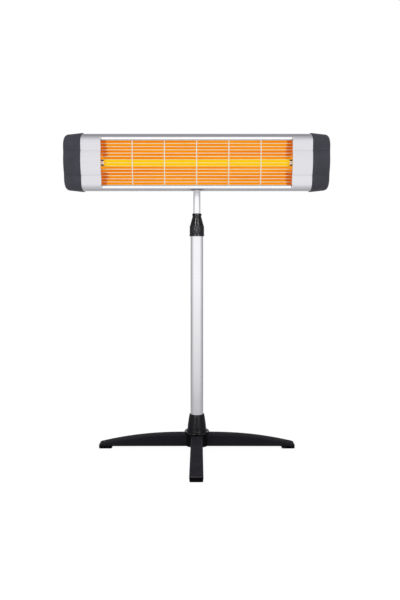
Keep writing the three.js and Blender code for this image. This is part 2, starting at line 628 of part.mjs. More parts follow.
// Front panels: sheet that follows the section between the housing's lips, with a return flange.
const panelHalf = WINDOW_HALF_HEIGHT - SEAT;
function makeFrontPanel() {
  const x1 = bodyHalf;
  const form = alongX(section(SHELL_INSET), WINDOW_HALF_LENGTH, x1);
  const inside = alongX(section(wallInset - 0.5), WINDOW_HALF_LENGTH + 1.5, x1 + 1);
  const behind = block(WINDOW_HALF_LENGTH - 1, x1 + 1, yAt(PANEL_RETURN_DEPTH), backFace + 1, zAt(-CAP_HEIGHT), zAt(CAP_HEIGHT));
  const band = block(WINDOW_HALF_LENGTH - 1, x1 + 1, yAt(-1), backFace, zAt(-panelHalf), zAt(panelHalf));
  return cut(form, inside, behind).intersect(band);
}
place("front_panel_right", makeFrontPanel(), silver, head);
place("front_panel_left", makeFrontPanel().mirror([1, 0, 0]), silver, head);

// End caps: a hollow moulding lofted through shrinking sections and closed by a rounded end.
function loft(rings) {
  const count = rings[0].length;
  const position = rings.flat(2);
  const index = [];
  for (let r = 0; r + 1 < rings.length; r++)
    for (let i = 0; i < count; i++) {
      const [a, b] = [r * count + i, r * count + ((i + 1) % count)];
      index.push(a, b, a + count, b, b + count, a + count);
    }
  const flat = rings[0].map(([, y, z]) => new THREE.Vector2(y, z));
  const last = (rings.length - 1) * count;
  for (const [a, b, c] of THREE.ShapeUtils.triangulateShape(flat, [])) {
    index.push(a, c, b, last + a, last + b, last + c);
  }
  const geometry = new THREE.BufferGeometry();
  geometry.setAttribute("position", new THREE.BufferAttribute(new Float32Array(position), 3));
  geometry.setIndex(index);
  return solid(geometry);
}

// The ring at a distance past the cap's inner edge: a drafted wall, then an elliptical end corner.
function capRing(along, inset) {
  const cornerStart = CAP_LENGTH - CAP_END_CORNER;
  const draft = (CAP_DRAFT * Math.min(along, cornerStart)) / cornerStart;
  const bend = THREE.MathUtils.clamp((along - cornerStart) / CAP_END_CORNER, 0, 1);
  const shrink = inset + draft + CAP_END_CORNER * 0.8 * (1 - Math.sqrt(1 - bend ** 2));
  return section(shrink).map(([y, z]) => [CAP_INNER_EDGE + along, y, z]);
}

function makeCap() {
  const corner = [0.55, 0.87, 1];
  const start = CAP_LENGTH - CAP_END_CORNER;
  const stations = [0, start, ...corner.map((share) => start + share * CAP_END_CORNER)];
  const outside = loft(stations.map((along) => capRing(along, 0)));
  const innerLength = CAP_LENGTH - CAP_WALL;
  const innerCorner = innerLength - CAP_END_CORNER;
  const socket = section(CAP_WALL);
  const mouth = [-1, CAP_OVERLAP + 1].map((along) => socket.map(([y, z]) => [CAP_INNER_EDGE + along, y, z]));
  const inside = [innerCorner, innerLength - CAP_END_CORNER / 3, innerLength].map((along) => capRing(along, CAP_WALL));
  return cut(outside, loft([...mouth, ...inside]));
}

const dialCentre = [yAt(FRONT_CORNER_DEPTH + 8), zAt(0)];
const capEnd = HEAD_LENGTH / 2;
const wellFloor = capEnd - DIAL_HEIGHT - CAP_WALL;
function makeSwitchCap() {
  const [y, z] = dialCentre;
  const well = rodAlongX(DIAL_RADIUS + RUN + CAP_WALL, wellFloor - CAP_WALL, capEnd - CAP_WALL / 2, y, z, 24);
  const recess = rodAlongX(DIAL_RADIUS + RUN, wellFloor, capEnd + 1, y, z, 24);
  const bore = rodAlongX(SWITCH_NECK_RADIUS + SEAT, wellFloor - CAP_WALL - 1, wellFloor + 1, y, z, 16);
  return cut(join(makeCap(), well), recess, bore);
}
const screwHoles = capScrewHoles(CAP_SCREW_RADIUS + SEAT);
place("end_cap_right", cut(makeSwitchCap(), ...screwHoles), slate, head);
place("end_cap_left", cut(makeCap().mirror([1, 0, 0]), ...screwHoles), slate, head);

for (const [side, sign] of [["right", 1], ["left", -1]])
  for (const [level, up] of [["upper", 1], ["lower", -1]]) {
    const seat = -yAt(CAP_DEPTH) - SEAT;
    const screw = turnedAlongY([
      [0, seat - 2.4], [CAP_SCREW_RADIUS * 1.4, seat - 2.2], [CAP_SCREW_RADIUS * 2, seat - 1],
      [CAP_SCREW_RADIUS * 2, seat], [CAP_SCREW_RADIUS, seat], [CAP_SCREW_RADIUS, -backInside + 2], [0, -backInside + 2],
    ], sign * capScrewX, zAt(up * CAP_SCREW_HEIGHT), 8);
    place(`cap_screw_${side}_${level}`, screw, steel, head);
  }

// Reflector: one sheet folded to a parabola, with edges that turn out behind the lips.
const reflectorFront = lipBack + 2 * GUARD_BAR_RADIUS + GUARD_BOW / 4;
const parabola = (height) => REFLECTOR_DEPTH - (REFLECTOR_DEPTH - reflectorFront) * (height / REFLECTOR_HALF_HEIGHT) ** 2;
function reflectorCurve(shift, steps) {
  return Array.from({ length: steps + 1 }, (_, i) => {
    const height = REFLECTOR_HALF_HEIGHT * (1 - (2 * i) / steps);
    return [yAt(parabola(height) + shift), zAt(height)];
  });
}
const skinReach = (FRONT_CORNER_DEPTH - reflectorFront) / (FRONT_CORNER_DEPTH - BULGE_RISE - wallInset);
const skinHeight = shoulder + (FRONT_CORNER - wallInset) * Math.sqrt(1 - skinReach ** 2);
const flangeHeight = skinHeight - 3 * SEAT;
const frontEdge = (sign, shift) => [yAt(reflectorFront + shift), zAt(sign * flangeHeight)];
place("reflector", alongX([
  frontEdge(1, 0), ...reflectorCurve(0, 12), frontEdge(-1, 0), frontEdge(-1, SHEET), ...reflectorCurve(SHEET, 12).slice(1, -1).reverse(),
  frontEdge(1, SHEET),
], -REFLECTOR_HALF_LENGTH, REFLECTOR_HALF_LENGTH), gold, head);

const lampY = yAt(LAMP_DEPTH);
const lampZ = zAt(0);
for (const [side, sign] of [["right", 1], ["left", -1]]) {
  const x = REFLECTOR_HALF_LENGTH + SEAT;
  const plate = cut(
    alongX([frontEdge(1, 0), ...reflectorCurve(5, 12), frontEdge(-1, 0)].map(([y, z]) => [y, z]), x, x + SHEET),
    rodAlongX(LAMP_SLOT_HALF, x - 1, x + SHEET + 1, lampY, lampZ, 20),
    block(x - 1, x + SHEET + 1, yAt(0), lampY, lampZ - LAMP_SLOT_HALF, lampZ + LAMP_SLOT_HALF),
  );
  place(`reflector_end_${side}`, sign > 0 ? plate : plate.mirror([1, 0, 0]), gold, head);
}

// Lamp: an open quartz tube with a filament between two ceramic ends, which sit in spring holders.
const lampHalf = REFLECTOR_HALF_LENGTH - LAMP_END_GAP;
const quartz = turnedAlongX([
  [QUARTZ_RADIUS - QUARTZ_WALL, -lampHalf], [QUARTZ_RADIUS, -lampHalf], [QUARTZ_RADIUS, lampHalf],
  [QUARTZ_RADIUS - QUARTZ_WALL, lampHalf], [QUARTZ_RADIUS - QUARTZ_WALL, -lampHalf],
], 20).translate([0, lampY, lampZ]);
place("quartz_tube", quartz, glow, head);

const plugRadius = QUARTZ_RADIUS - QUARTZ_WALL - SEAT;
const filamentHalf = lampHalf - LAMP_PLUG - SEAT;
const beadPitch = (2 * filamentHalf) / (FILAMENT_BEADS + 1);
const filamentProfile = [[0, -filamentHalf], [FILAMENT_RADIUS, -filamentHalf]];
for (let i = 1; i <= FILAMENT_BEADS; i++) {
  const x = -filamentHalf + beadPitch * i;
  filamentProfile.push([FILAMENT_RADIUS, x - 1], [plugRadius, x - 1], [plugRadius, x + 1], [FILAMENT_RADIUS, x + 1]);
}
filamentProfile.push([FILAMENT_RADIUS, filamentHalf], [0, filamentHalf]);
place("heating_filament", turnedAlongX(filamentProfile, 8).translate([0, lampY, lampZ]), brass, head);

const holderX = REFLECTOR_HALF_LENGTH + SHEET + 8;
const ceramicEnd = holderX + HOLDER_LENGTH + 4;
for (const [side, sign] of [["right", 1], ["left", -1]]) {
  const end = turnedAlongX([
    [0, lampHalf - LAMP_PLUG], [plugRadius, lampHalf - LAMP_PLUG], [plugRadius, lampHalf + SEAT],
    [LAMP_END_RADIUS, lampHalf + SEAT], [LAMP_END_RADIUS, ceramicEnd - 1], [LAMP_END_RADIUS - 1, ceramicEnd], [0, ceramicEnd],
  ], 16).translate([0, lampY, lampZ]);
  place(`lamp_end_${side}`, sign > 0 ? end : end.mirror([1, 0, 0]), ceramic, head);
  const footBack = backInside - SEAT;
  const reach = LAMP_END_RADIUS + 4;
  const upright = cut(
    block(holderX, holderX + SHEET, lampY - reach, footBack, lampZ - HOLDER_HALF, lampZ + HOLDER_HALF),
    rodAlongX(LAMP_END_RADIUS + SEAT, holderX - 1, holderX + SHEET + 1, lampY, lampZ, 20),
    block(holderX - 1, holderX + SHEET + 1, lampY - reach - 1, lampY, lampZ - LAMP_END_RADIUS * 0.8, lampZ + LAMP_END_RADIUS * 0.8),
    block(holderX - 1, holderX + SHEET + 1, backInside - CHANNEL_DEPTH - SEAT, backFace, zAt(-CHANNEL_HALF - SHELL_WALL - SEAT), zAt(CHANNEL_HALF + SHELL_WALL + SEAT)),
  );
  const foot = (up) => {
    const near = up * (CHANNEL_HALF + SHELL_WALL + SEAT);
    const far = up * HOLDER_HALF;
    return block(holderX, holderX + HOLDER_LENGTH, footBack - SHEET, footBack, zAt(Math.min(near, far)), zAt(Math.max(near, far)));
  };
  const holder = join(upright, foot(1), foot(-1));
  place(`lamp_holder_${side}`, sign > 0 ? holder : holder.mirror([1, 0, 0]), steel, head);
}

// Guard: straight wires welded behind bowed bars, whose ends hook behind the housing's lips.
const lipEdge = (WINDOW_HALF_HEIGHT - LIP_WIDTH) / GUARD_BAR_HALF;
const guardEdgeDepth = lipBack + 2 * SEAT + GUARD_BAR_RADIUS + GUARD_BOW * (1 - lipEdge ** 2);
const barBow = (height) => guardEdgeDepth - GUARD_BOW * (1 - (height / GUARD_BAR_HALF) ** 2);
function makeBar(x) {
  const steps = 6;
  const points = Array.from({ length: steps + 1 }, (_, i) => {
    const height = GUARD_BAR_HALF * (1 - (2 * i) / steps);
    return new THREE.Vector3(x, yAt(barBow(height)), zAt(height));
  });
  const path = new THREE.CatmullRomCurve3(points);
  const ring = new THREE.Shape(arc(0, 0, GUARD_BAR_RADIUS, GUARD_BAR_RADIUS, 0, 288, 4).map(([u, v]) => new THREE.Vector2(u, v)));
  return solid(new THREE.ExtrudeGeometry(ring, { steps, extrudePath: path, bevelEnabled: false }));
}
const guardHalf = WINDOW_HALF_LENGTH + GUARD_BAR_RADIUS + SEAT;
function makeGuard() {
  const bars = Array.from({ length: 2 * GUARD_SIDE_BARS + 1 }, (_, i) => makeBar((i - GUARD_SIDE_BARS) * GUARD_BAR_PITCH));
  const ends = [guardHalf, -guardHalf].map(makeBar);
  const wires = Array.from({ length: GUARD_WIRES }, (_, i) => {
    const height = (i - (GUARD_WIRES - 1) / 2) * GUARD_WIRE_PITCH;
    const depth = barBow(height) + GUARD_BAR_RADIUS + GUARD_WIRE_RADIUS - 0.5;
    return rodAlongX(GUARD_WIRE_RADIUS, -guardHalf - GUARD_BAR_RADIUS, guardHalf + GUARD_BAR_RADIUS, yAt(depth), zAt(height), 5);
  });
  return join(...bars, ...ends, ...wires);
}
place("guard_grille", makeGuard(), cream, head);

// Controls and wiring inside the ends of the head.
const [dialY, dialZ] = dialCentre;
const neckEnd = wellFloor + 4;
const switchBack = wellFloor - CAP_WALL - SEAT - SWITCH_LENGTH;
place("power_switch", join(
  block(switchBack, wellFloor - CAP_WALL - SEAT, dialY - SWITCH_HALF, dialY + SWITCH_HALF, dialZ - SWITCH_HALF, dialZ + SWITCH_HALF),
  rodAlongX(SWITCH_NECK_RADIUS, wellFloor - CAP_WALL - 1, neckEnd, dialY, dialZ, 16),
), black, head);
function makeDial() {
  const [x0, x1] = [wellFloor + RUN, capEnd - 0.5];
  const body = cut(
    turnedAlongX([[0, x0], [DIAL_RADIUS, x0], [DIAL_RADIUS, x1 - 2], [DIAL_RADIUS - 2, x1 - 1], [0, x1 - 1]], 24),
    rodAlongX(SWITCH_NECK_RADIUS + RUN, x0 - 1, neckEnd + RUN, 0, 0, 16),
  );
  const grip = block(x1 - DIAL_GRIP_RISE, x1, -DIAL_GRIP_WIDTH / 2, DIAL_GRIP_WIDTH / 2, 4 - DIAL_RADIUS, DIAL_RADIUS - 4);
  return join(body, grip).translate([0, dialY, dialZ]);
}
place("power_dial", makeDial(), black, head);

const terminalX = bodyHalf - TERMINAL_LENGTH - 3;
const wells = Array.from({ length: 3 }, (_, i) =>
  turnedAlongY([
    [0, -backInside + TERMINAL_HALF], [TERMINAL_WELL_RADIUS, -backInside + TERMINAL_HALF],
    [TERMINAL_WELL_RADIUS, -backInside + 3 * TERMINAL_HALF], [0, -backInside + 3 * TERMINAL_HALF],
  ], terminalX + (TERMINAL_LENGTH * (i + 0.5)) / 3, zAt(TERMINAL_HEIGHT), 10));
place("terminal_block", cut(
  block(terminalX, terminalX + TERMINAL_LENGTH, backInside - SEAT - 2 * TERMINAL_HALF, backInside - SEAT,
    zAt(TERMINAL_HEIGHT - TERMINAL_HALF), zAt(TERMINAL_HEIGHT + TERMINAL_HALF)),
  ...wells,
), ceramic, head);
const tipSwitchX = CAP_OVERLAP / 2 - bodyHalf;
place("tip_over_switch", join(
  block(tipSwitchX, tipSwitchX + TIP_SWITCH_LENGTH, backInside - SEAT - TIP_SWITCH_DEPTH, backInside - SEAT,
    zAt(TERMINAL_HEIGHT - TIP_SWITCH_HALF), zAt(TERMINAL_HEIGHT + TIP_SWITCH_HALF)),
  rodAlongX(TIP_SWITCH_DEPTH / 2, tipSwitchX + 4, tipSwitchX + TIP_SWITCH_LENGTH - 4,
    backInside - SEAT - TIP_SWITCH_DEPTH - 2, zAt(TERMINAL_HEIGHT), 16),
), black, head);
place("cable_gland", turnedAlongY([
  [0, -backFace - 9], [GLAND_RADIUS - 2.5, -backFace - 12], [GLAND_RADIUS - 1, -backFace - 12],
  [GLAND_RADIUS + 1, -backFace - 4], [GLAND_RADIUS + 4, -backFace - 4], [GLAND_RADIUS + 4, -backFace - SEAT],
  [GLAND_RADIUS, -backFace - SEAT], [GLAND_RADIUS, -backInside + 3], [0, -backInside + 3],
], GLAND_X, zAt(GLAND_HEIGHT), 16), rubber, head);

// Bracket: a plate bolted to the channel, folded into two ears that hold the tongue.
const plateFront = backFace + SEAT;
const plateBack = plateFront + BRACKET_THICKNESS;
const boltSpots = [BRACKET_BOLT_SPACING / 2, -BRACKET_BOLT_SPACING / 2];
function makeBracket() {
  const halfWide = BRACKET_WIDTH / 2;
  const [low, high] = [zAt(-BRACKET_TOP_HEIGHT), zAt(BRACKET_TOP_HEIGHT)];
  const earFoot = -TONGUE_RADIUS + 4;
  const slope = halfWide - earOutside;
  const plan = [
    [-halfWide + 5, high], [-halfWide, high - 5], [-halfWide, low], [-earOutside, low - slope * 0.6], [-earOutside, earFoot],
    [earOutside, earFoot], [earOutside, low - slope * 0.6], [halfWide, low], [halfWide, high - 5], [halfWide - 5, high],
  ];
  const plate = alongZ(plan, 0, BRACKET_THICKNESS).rotate([90, 0, 0]).translate([0, plateBack, 0]);
  const ear = alongX([
    [plateFront, earFoot], [plateBack, earFoot], ...arc(0, 0, TONGUE_RADIUS, TONGUE_RADIUS, -90, 90, 10),
    [plateBack, low - slope * 0.6], [plateFront, low - slope * 0.6],
  ], earInside, earOutside);
  const holes = boltSpots.map((x) => turnedAlongY([[0, -plateBack - 1], [BRACKET_BOLT_RADIUS + SEAT, -plateBack - 1],
    [BRACKET_BOLT_RADIUS + SEAT, -plateFront + 1], [0, -plateFront + 1]], x, zAt(0), 16));
  const pivotHole = rodAlongX(TILT_BOLT_RADIUS + SEAT, -earOutside - 1, earOutside + 1, 0, 0, 16);
  return cut(join(plate, ear, ear.mirror([1, 0, 0])), pivotHole, ...holes);
}
place("tilt_bracket", makeBracket(), steel, head);

["right", "left"].forEach((side, i) => {
  const headFront = backInside - CHANNEL_DEPTH + SHELL_WALL + SEAT;
  const nutFront = plateBack + SEAT;
  const headOfBolt = block(-CHANNEL_SLOT, CHANNEL_SLOT, headFront, backInside - SEAT, zAt(SEAT - CHANNEL_HALF), zAt(CHANNEL_HALF - SEAT));
  const shank = turnedAlongY([[0, -nutFront - 9], [BRACKET_BOLT_RADIUS, -nutFront - 9],
    [BRACKET_BOLT_RADIUS, -backInside + 1], [0, -backInside + 1]], 0, zAt(0), 16);
  place(`bracket_bolt_${side}`, join(headOfBolt, shank).translate([boltSpots[i], 0, 0]), steel, head);
  const across = BRACKET_BOLT_RADIUS * 2;
  const hole = BRACKET_BOLT_RADIUS + THREAD;
  const nut = cut(
    turnedAlongY([[0, -nutFront - 5], [across, -nutFront - 5], [across, -nutFront], [0, -nutFront]], 0, zAt(0), 6),
    turnedAlongY([[0, -nutFront - 6], [hole, -nutFront - 6], [hole, -nutFront + 1], [0, -nutFront + 1]], 0, zAt(0), 16),
  );
  place(`bracket_nut_${side}`, nut.translate([boltSpots[i], 0, 0]), steel, head);
});

const knobStart = earOutside + RUN;
const boltEnd = knobStart + KNOB_LENGTH - 5;
place("tilt_bolt", join(
  rodAlongX(TILT_BOLT_RADIUS, -earOutside - 1, boltEnd, 0, 0, 16),
  rodAlongX(TILT_BOLT_RADIUS * 1.9, -earOutside - SEAT - boltHeadHeight, -earOutside - SEAT, 0, 0, 20),
), steel, head);

function makeKnob() {
  const lobes = Array.from({ length: KNOB_LOBES * 6 }, (_, i) => {
    const angle = (i / (KNOB_LOBES * 6)) * 2 * Math.PI;
    const radius = KNOB_RADIUS * (0.9 + 0.1 * Math.cos(KNOB_LOBES * angle));
    return [radius * Math.cos(angle), radius * Math.sin(angle)];
  });
  const bossEnd = knobStart + KNOB_BOSS_LENGTH;
  return cut(
    join(alongX(lobes, bossEnd - 1, knobStart + KNOB_LENGTH), rodAlongX(KNOB_RADIUS * 0.55, knobStart, bossEnd, 0, 0, 24)),
    rodAlongX(TILT_BOLT_RADIUS + 0.4, knobStart - 1, boltEnd + RUN, 0, 0, 16),
  );
}
place("tilt_knob", makeKnob(), black, head);

export default group;
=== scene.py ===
"""Infrared heater on a telescopic stand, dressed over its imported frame.

Measures are in millimetres, as in the frame's own source. The head's pieces are made level,
with Z up from the tilt bolt, and then turned with the head, which leans forward.
"""
import math

import bmesh
import bpy
from mathutils import Matrix, Vector


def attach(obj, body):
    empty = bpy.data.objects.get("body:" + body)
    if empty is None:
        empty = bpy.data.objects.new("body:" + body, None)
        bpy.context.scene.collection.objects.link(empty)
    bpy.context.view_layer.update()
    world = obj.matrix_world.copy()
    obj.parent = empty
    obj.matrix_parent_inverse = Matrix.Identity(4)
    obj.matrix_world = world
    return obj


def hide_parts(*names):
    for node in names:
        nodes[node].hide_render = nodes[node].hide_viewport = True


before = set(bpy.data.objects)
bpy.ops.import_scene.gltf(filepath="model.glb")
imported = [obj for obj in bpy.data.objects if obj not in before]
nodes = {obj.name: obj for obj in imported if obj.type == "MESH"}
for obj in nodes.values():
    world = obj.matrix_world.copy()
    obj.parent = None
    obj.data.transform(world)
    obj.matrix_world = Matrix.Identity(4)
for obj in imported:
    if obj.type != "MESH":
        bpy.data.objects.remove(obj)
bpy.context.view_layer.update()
scene = bpy.context.scene

METRE = 1000
PIVOT_HEIGHT = 898
HEAD_LEAN = math.radians(8.6)
stand_place = Matrix.Scale(1 / METRE, 4)
head_place = (stand_place @ Matrix.Translation((0, 0, PIVOT_HEIGHT))
              @ Matrix.Rotation(HEAD_LEAN, 4, "X"))

# The head's section, by depth behind the foremost line of the caps and height above its middle.
PIVOT_DEPTH = 146
MIDDLE_RISE = 55
CAP_DEPTH = 115
BULGE_HALF = 39
BULGE_RISE = 7.5
SHOULDER = 60
FRONT_CORNER_DEPTH = 55
BACK_CORNER_DEPTH = 75
FRONT_CORNER = 34
BACK_CORNER = 40
SHELL_INSET = 3
SHELL_WALL = 2
WINDOW_HALF_HEIGHT = 79.5
LIP_EDGE = 73.5
LIP_DEPTH = 22

# The head's lengths, from its middle.
WINDOW_HALF_LENGTH = 300
CAP_INNER_EDGE = 363
SHELL_END = 380.5
CAP_END = 419

# The turned black mouldings, on which the two narrow lights put their streaks.
STREAKED_PIECES = ("lock_collar", "hub_moulding")
streaked_pieces = bpy.data.collections.new("streaked_pieces")


def in_head(depth, height, x=0.0):
    """A point of the head's section, measured from the tilt bolt."""
    return Vector((x, depth - PIVOT_DEPTH, height + MIDDLE_RISE))


# ---------------------------------------------------------------- making and placing pieces


def keep(bm, name, finish, body, replaced=(), crease=32, thickness=0.0, bevel=0.0,
         at=stand_place):
    """Places a made mesh in the frame, its faces turned outwards, and keeps it as a piece."""
    bmesh.ops.remove_doubles(bm, verts=bm.verts, dist=0.001)
    bm.transform(at)
    bmesh.ops.recalc_face_normals(bm, faces=bm.faces)
    return keep_as_is(bm, name, finish, body, replaced, crease, thickness, bevel)


def keep_as_is(bm, name, finish, body, replaced=(), crease=32, thickness=0.0, bevel=0.0):
    """Keeps a placed mesh as a piece that rides on a body, with a wall or soft edges if given."""
    for face in bm.faces:
        face.smooth = True
    sharp = math.radians(crease)
    for edge in bm.edges:
        if len(edge.link_faces) != 2 or edge.calc_face_angle(0.0) > sharp:
            edge.smooth = False
    mesh = bpy.data.meshes.new(name)
    bm.to_mesh(mesh)
    bm.free()
    piece = bpy.data.objects.new(name, mesh)
    scene.collection.objects.link(piece)
    mesh.materials.append(finish)
    if thickness:
        wall = piece.modifiers.new("wall", "SOLIDIFY")
        wall.thickness = thickness / METRE
        wall.offset = -1
        wall.use_even_offset = True
    if bevel:
        rounding = piece.modifiers.new("edge", "BEVEL")
        rounding.width = bevel / METRE
        rounding.segments = 2
        rounding.limit_method = "ANGLE"
        rounding.angle_limit = math.radians(40)
        rounding.harden_normals = True
    if name in STREAKED_PIECES:
        streaked_pieces.objects.link(piece)
    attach(piece, body)
    if replaced:
        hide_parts(*replaced)
    return piece


def add_finishes(piece, *finishes):
    """Gives a piece the finishes that its faces pick by number, after its first one."""
    for finish in finishes:
        piece.data.materials.append(finish)


def line(bm, points):
    """Joins points by edges, as the profile that a turn or a pull starts from."""
    verts = [bm.verts.new(p) for p in points]
    return verts, [bm.edges.new(pair) for pair in zip(verts, verts[1:])]


def ring(bm, points):
    """Joins points by edges, once round."""
    verts, edges = line(bm, points)
    return verts, [*edges, bm.edges.new((verts[-1], verts[0]))]


def extruded(bm, edges):
    """Extrudes edges in place and returns the new points and the new edges that join them."""
    made = bmesh.ops.extrude_edge_only(bm, edges=edges)["geom"]
    verts = [v for v in made if isinstance(v, bmesh.types.BMVert)]
    return verts, [e for e in made
                   if isinstance(e, bmesh.types.BMEdge) and all(v in verts for v in e.verts)]


def pulled(bm, points, along):
    """Pulls a profile along a vector."""
    verts, _ = extruded(bm, line(bm, points)[1])
    bmesh.ops.translate(bm, vec=along, verts=verts)


def turned(bm, profile, steps=64, axis="Z", centre=(0, 0, 0)):
    """Spins a profile of (radius, distance along the axis) points round that axis."""
    along, out = {"X": (Vector((1, 0, 0)), Vector((0, 0, 1))),
                  "Z": (Vector((0, 0, 1)), Vector((1, 0, 0)))}[axis]
    centre = Vector(centre)
    verts, edges = line(bm, [centre + out * r + along * h for r, h in profile])
    bmesh.ops.spin(bm, geom=verts + edges, cent=centre, axis=along, angle=math.tau, steps=steps,
                   use_merge=True)
    bmesh.ops.remove_doubles(bm, verts=bm.verts, dist=0.0005)


def rod_between(bm, radius, start, end, cuts=0):
    """A round rod from point to point, cut across where it is to be bent."""
    start, end = Vector(start), Vector(end)
    turn = (end - start).to_track_quat("Z", "Y").to_matrix().to_4x4()
    rod = bmesh.ops.create_cone(
        bm, cap_ends=True, segments=12, radius1=radius, radius2=radius,
        depth=(end - start).length, matrix=Matrix.Translation((start + end) / 2) @ turn)["verts"]
    if cuts:
        along = (end - start).normalized()
        lengthwise = dict.fromkeys(
            e for v in rod for e in v.link_edges
            if abs((e.verts[0].co - e.verts[1].co).normalized().dot(along)) > 0.9)
        bmesh.ops.subdivide_edges(bm, edges=list(lengthwise), cuts=cuts)
    return rod


def block(bm, size, at):
    """A block of a size round a point."""
    verts = bmesh.ops.create_cube(bm, size=1.0)["verts"]
    bmesh.ops.scale(bm, vec=size, verts=verts)
    bmesh.ops.translate(bm, vec=at, verts=verts)


def arc(centre, radii, start, end, steps):
    """Points of an ellipse between two angles, in degrees."""
    turns = [math.radians(start + (end - start) * i / steps) for i in range(steps + 1)]
    return [(centre[0] + radii[0] * math.cos(turn), centre[1] + radii[1] * math.sin(turn))
            for turn in turns]


def mirrored(points):
    """The same points below the middle, in the order that carries the line on."""
    return [(d, -h) for d, h in reversed(points)]


def dressed(node, finish, body):
    """A frame piece whose shape is right, with its edges softened."""
    bm = bmesh.new()
    bm.from_mesh(nodes[node].data)
    bmesh.ops.remove_doubles(bm, verts=bm.verts, dist=0.00002)
    bmesh.ops.dissolve_limit(bm, angle_limit=math.radians(1), verts=bm.verts, edges=bm.edges)
    keep_as_is(bm, node + "_finished", finish, body, (node,), crease=30, bevel=0.35)


# ---------------------------------------------------------------- nodes


def add(tree, kind, **properties):
    """Adds a node and sets its properties."""
    node = tree.nodes.new(kind)
    for name, value in properties.items():
        setattr(node, name, value)
    return node


def feed(tree, value, socket):
    """Links an output to a socket, or sets a number or a colour on it."""
    if isinstance(value, bpy.types.NodeSocket):
        tree.links.new(value, socket)
    else:
        socket.default_value = value


def calculate(tree, operation, *values):
    """Works out one sum from numbers or outputs."""
    node = add(tree, "ShaderNodeMath", operation=operation)
    for socket, value in zip(node.inputs, values):
        feed(tree, value, socket)
    return node.outputs[0]


def map_range(tree, source, from_min, from_max, to_min=0.0, to_max=1.0, kind="LINEAR"):
    """Spreads a value's range over another one, held at both ends."""
    node = add(tree, "ShaderNodeMapRange", interpolation_type=kind)
    for name, value in (("Value", source), ("From Min", from_min), ("From Max", from_max),
                        ("To Min", to_min), ("To Max", to_max)):
        feed(tree, value, node.inputs[name])
    return node.outputs["Result"]


def colour_ramp(tree, source, stops, easing="LINEAR"):
    """Turns a value into a colour by stops of (position, red, green, blue)."""
    node = add(tree, "ShaderNodeValToRGB")
    ramp = node.color_ramp
    ramp.interpolation = easing
    first, *inner, last = stops
    for element, (position, *colour) in zip(ramp.elements, (first, last)):
        element.position, element.color = position, (*colour, 1)
    for position, *colour in inner:
        ramp.elements.new(position).color = (*colour, 1)
    feed(tree, source, node.inputs["Fac"])
    return node.outputs["Color"]


def tint(tree, source, dark, light, low=0.3, high=0.7):
    """Turns a value into a colour between two."""
    return colour_ramp(tree, source, ((low, *dark), (high, *light)))


def mix_colours(tree, factor, first, second, blend="MIX"):
    node = add(tree, "ShaderNodeMix", data_type="RGBA", blend_type=blend)
    for name, value in (("Factor", factor), ("A", first), ("B", second)):
        feed(tree, value, node.inputs[name])
    return node.outputs["Result"]


def mix_shaders(tree, factor, first, second):
    node = add(tree, "ShaderNodeMixShader")
    for socket, value in zip(node.inputs, (factor, first, second)):
        feed(tree, value, socket)
    return node.outputs[0]


def place_on(tree, kind="Object"):
    """The place on a piece, or the direction in the world: whole, and as X, Y and Z."""
    whole = add(tree, "ShaderNodeTexCoord").outputs[kind]
    parts = add(tree, "ShaderNodeSeparateXYZ")
    feed(tree, whole, parts.inputs[0])
    return whole, parts.outputs


# ---------------------------------------------------------------- camera, floor and light


def place_camera():
    data = bpy.data.cameras.new("camera")
    data.sensor_width = 36
    data.lens = 37.30
    data.shift_y = -0.0762
    camera = bpy.data.objects.new("camera", data)
    camera.location = (0.0105, -2.087, 0.646)
    camera.rotation_euler = (math.radians(90), 0, 0)
    scene.collection.objects.link(camera)
    scene.camera = camera


# Greys of the mirrored room, from in front of the heater (0) to behind it (1), and of the floor.
ROOM_GREYS = ((0.38, 0.74), (0.52, 0.56), (0.65, 0.42), (0.80, 0.31), (0.90, 0.34), (0.95, 0.62))
FLOOR_GREYS = ((0.21, 0.97), (0.33, 0.84), (0.5, 0.66), (0.625, 0.55), (0.75, 0.46))


def room_colour(tree, cosine):
    """How bright the room looks in a mirror, by the cosine of the angle from straight behind."""
    greys = [(where, grey, grey, grey * 1.04) for where, grey in ROOM_GREYS]
    stops = [(0.22, 1.0, 1.0, 1.0), *greys, (1.0, 0.92, 0.92, 0.92)]
    return colour_ramp(tree, map_range(tree, cosine, -1, 1), stops, "EASE")


def background(tree, colour, strength=1.0):
    node = add(tree, "ShaderNodeBackground")
    feed(tree, colour, node.inputs["Color"])
    feed(tree, strength, node.inputs["Strength"])
    return node.outputs[0]


def light_world():
    """Soft light from all round, a room that shows in mirrors, and white behind the heater."""
    world = bpy.data.worlds.new("studio")
    scene.world = world
    world.use_nodes = True
    tree = world.node_tree
    tree.nodes.clear()
    ray = add(tree, "ShaderNodeLightPath").outputs
    _, direction = place_on(tree, "Generated")
    ceiling = map_range(tree, direction["Z"], 0.1, 1.0, 1.12, 0.98)
    reflected = calculate(tree, "MAXIMUM", ray["Is Glossy Ray"], ray["Is Transmission Ray"])
    lit = mix_shaders(tree, reflected, background(tree, (0.62, 0.62, 0.63, 1)),
                      background(tree, room_colour(tree, direction["Y"]), ceiling))
    seen = mix_shaders(tree, ray["Is Camera Ray"], lit, background(tree, (1, 1, 1, 1)))
    feed(tree, seen, add(tree, "ShaderNodeOutputWorld").inputs["Surface"])


def area_light(name, place, aim, size, energy, mirrored_only=False):
    """A soft light, or one that shows only in the gloss of the turned black mouldings."""
    data = bpy.data.lights.new(name, "AREA")
    data.shape = "RECTANGLE"
    data.size, data.size_y = size
    data.energy = energy
    lamp = bpy.data.objects.new(name, data)
    lamp.location = place
    lamp.rotation_euler = (Vector(aim) - Vector(place)).to_track_quat("-Z", "Y").to_euler()
    lamp.visible_glossy = mirrored_only
    lamp.visible_diffuse = not mirrored_only
    scene.collection.objects.link(lamp)
    if mirrored_only:
        lamp.light_linking.receiver_collection = streaked_pieces


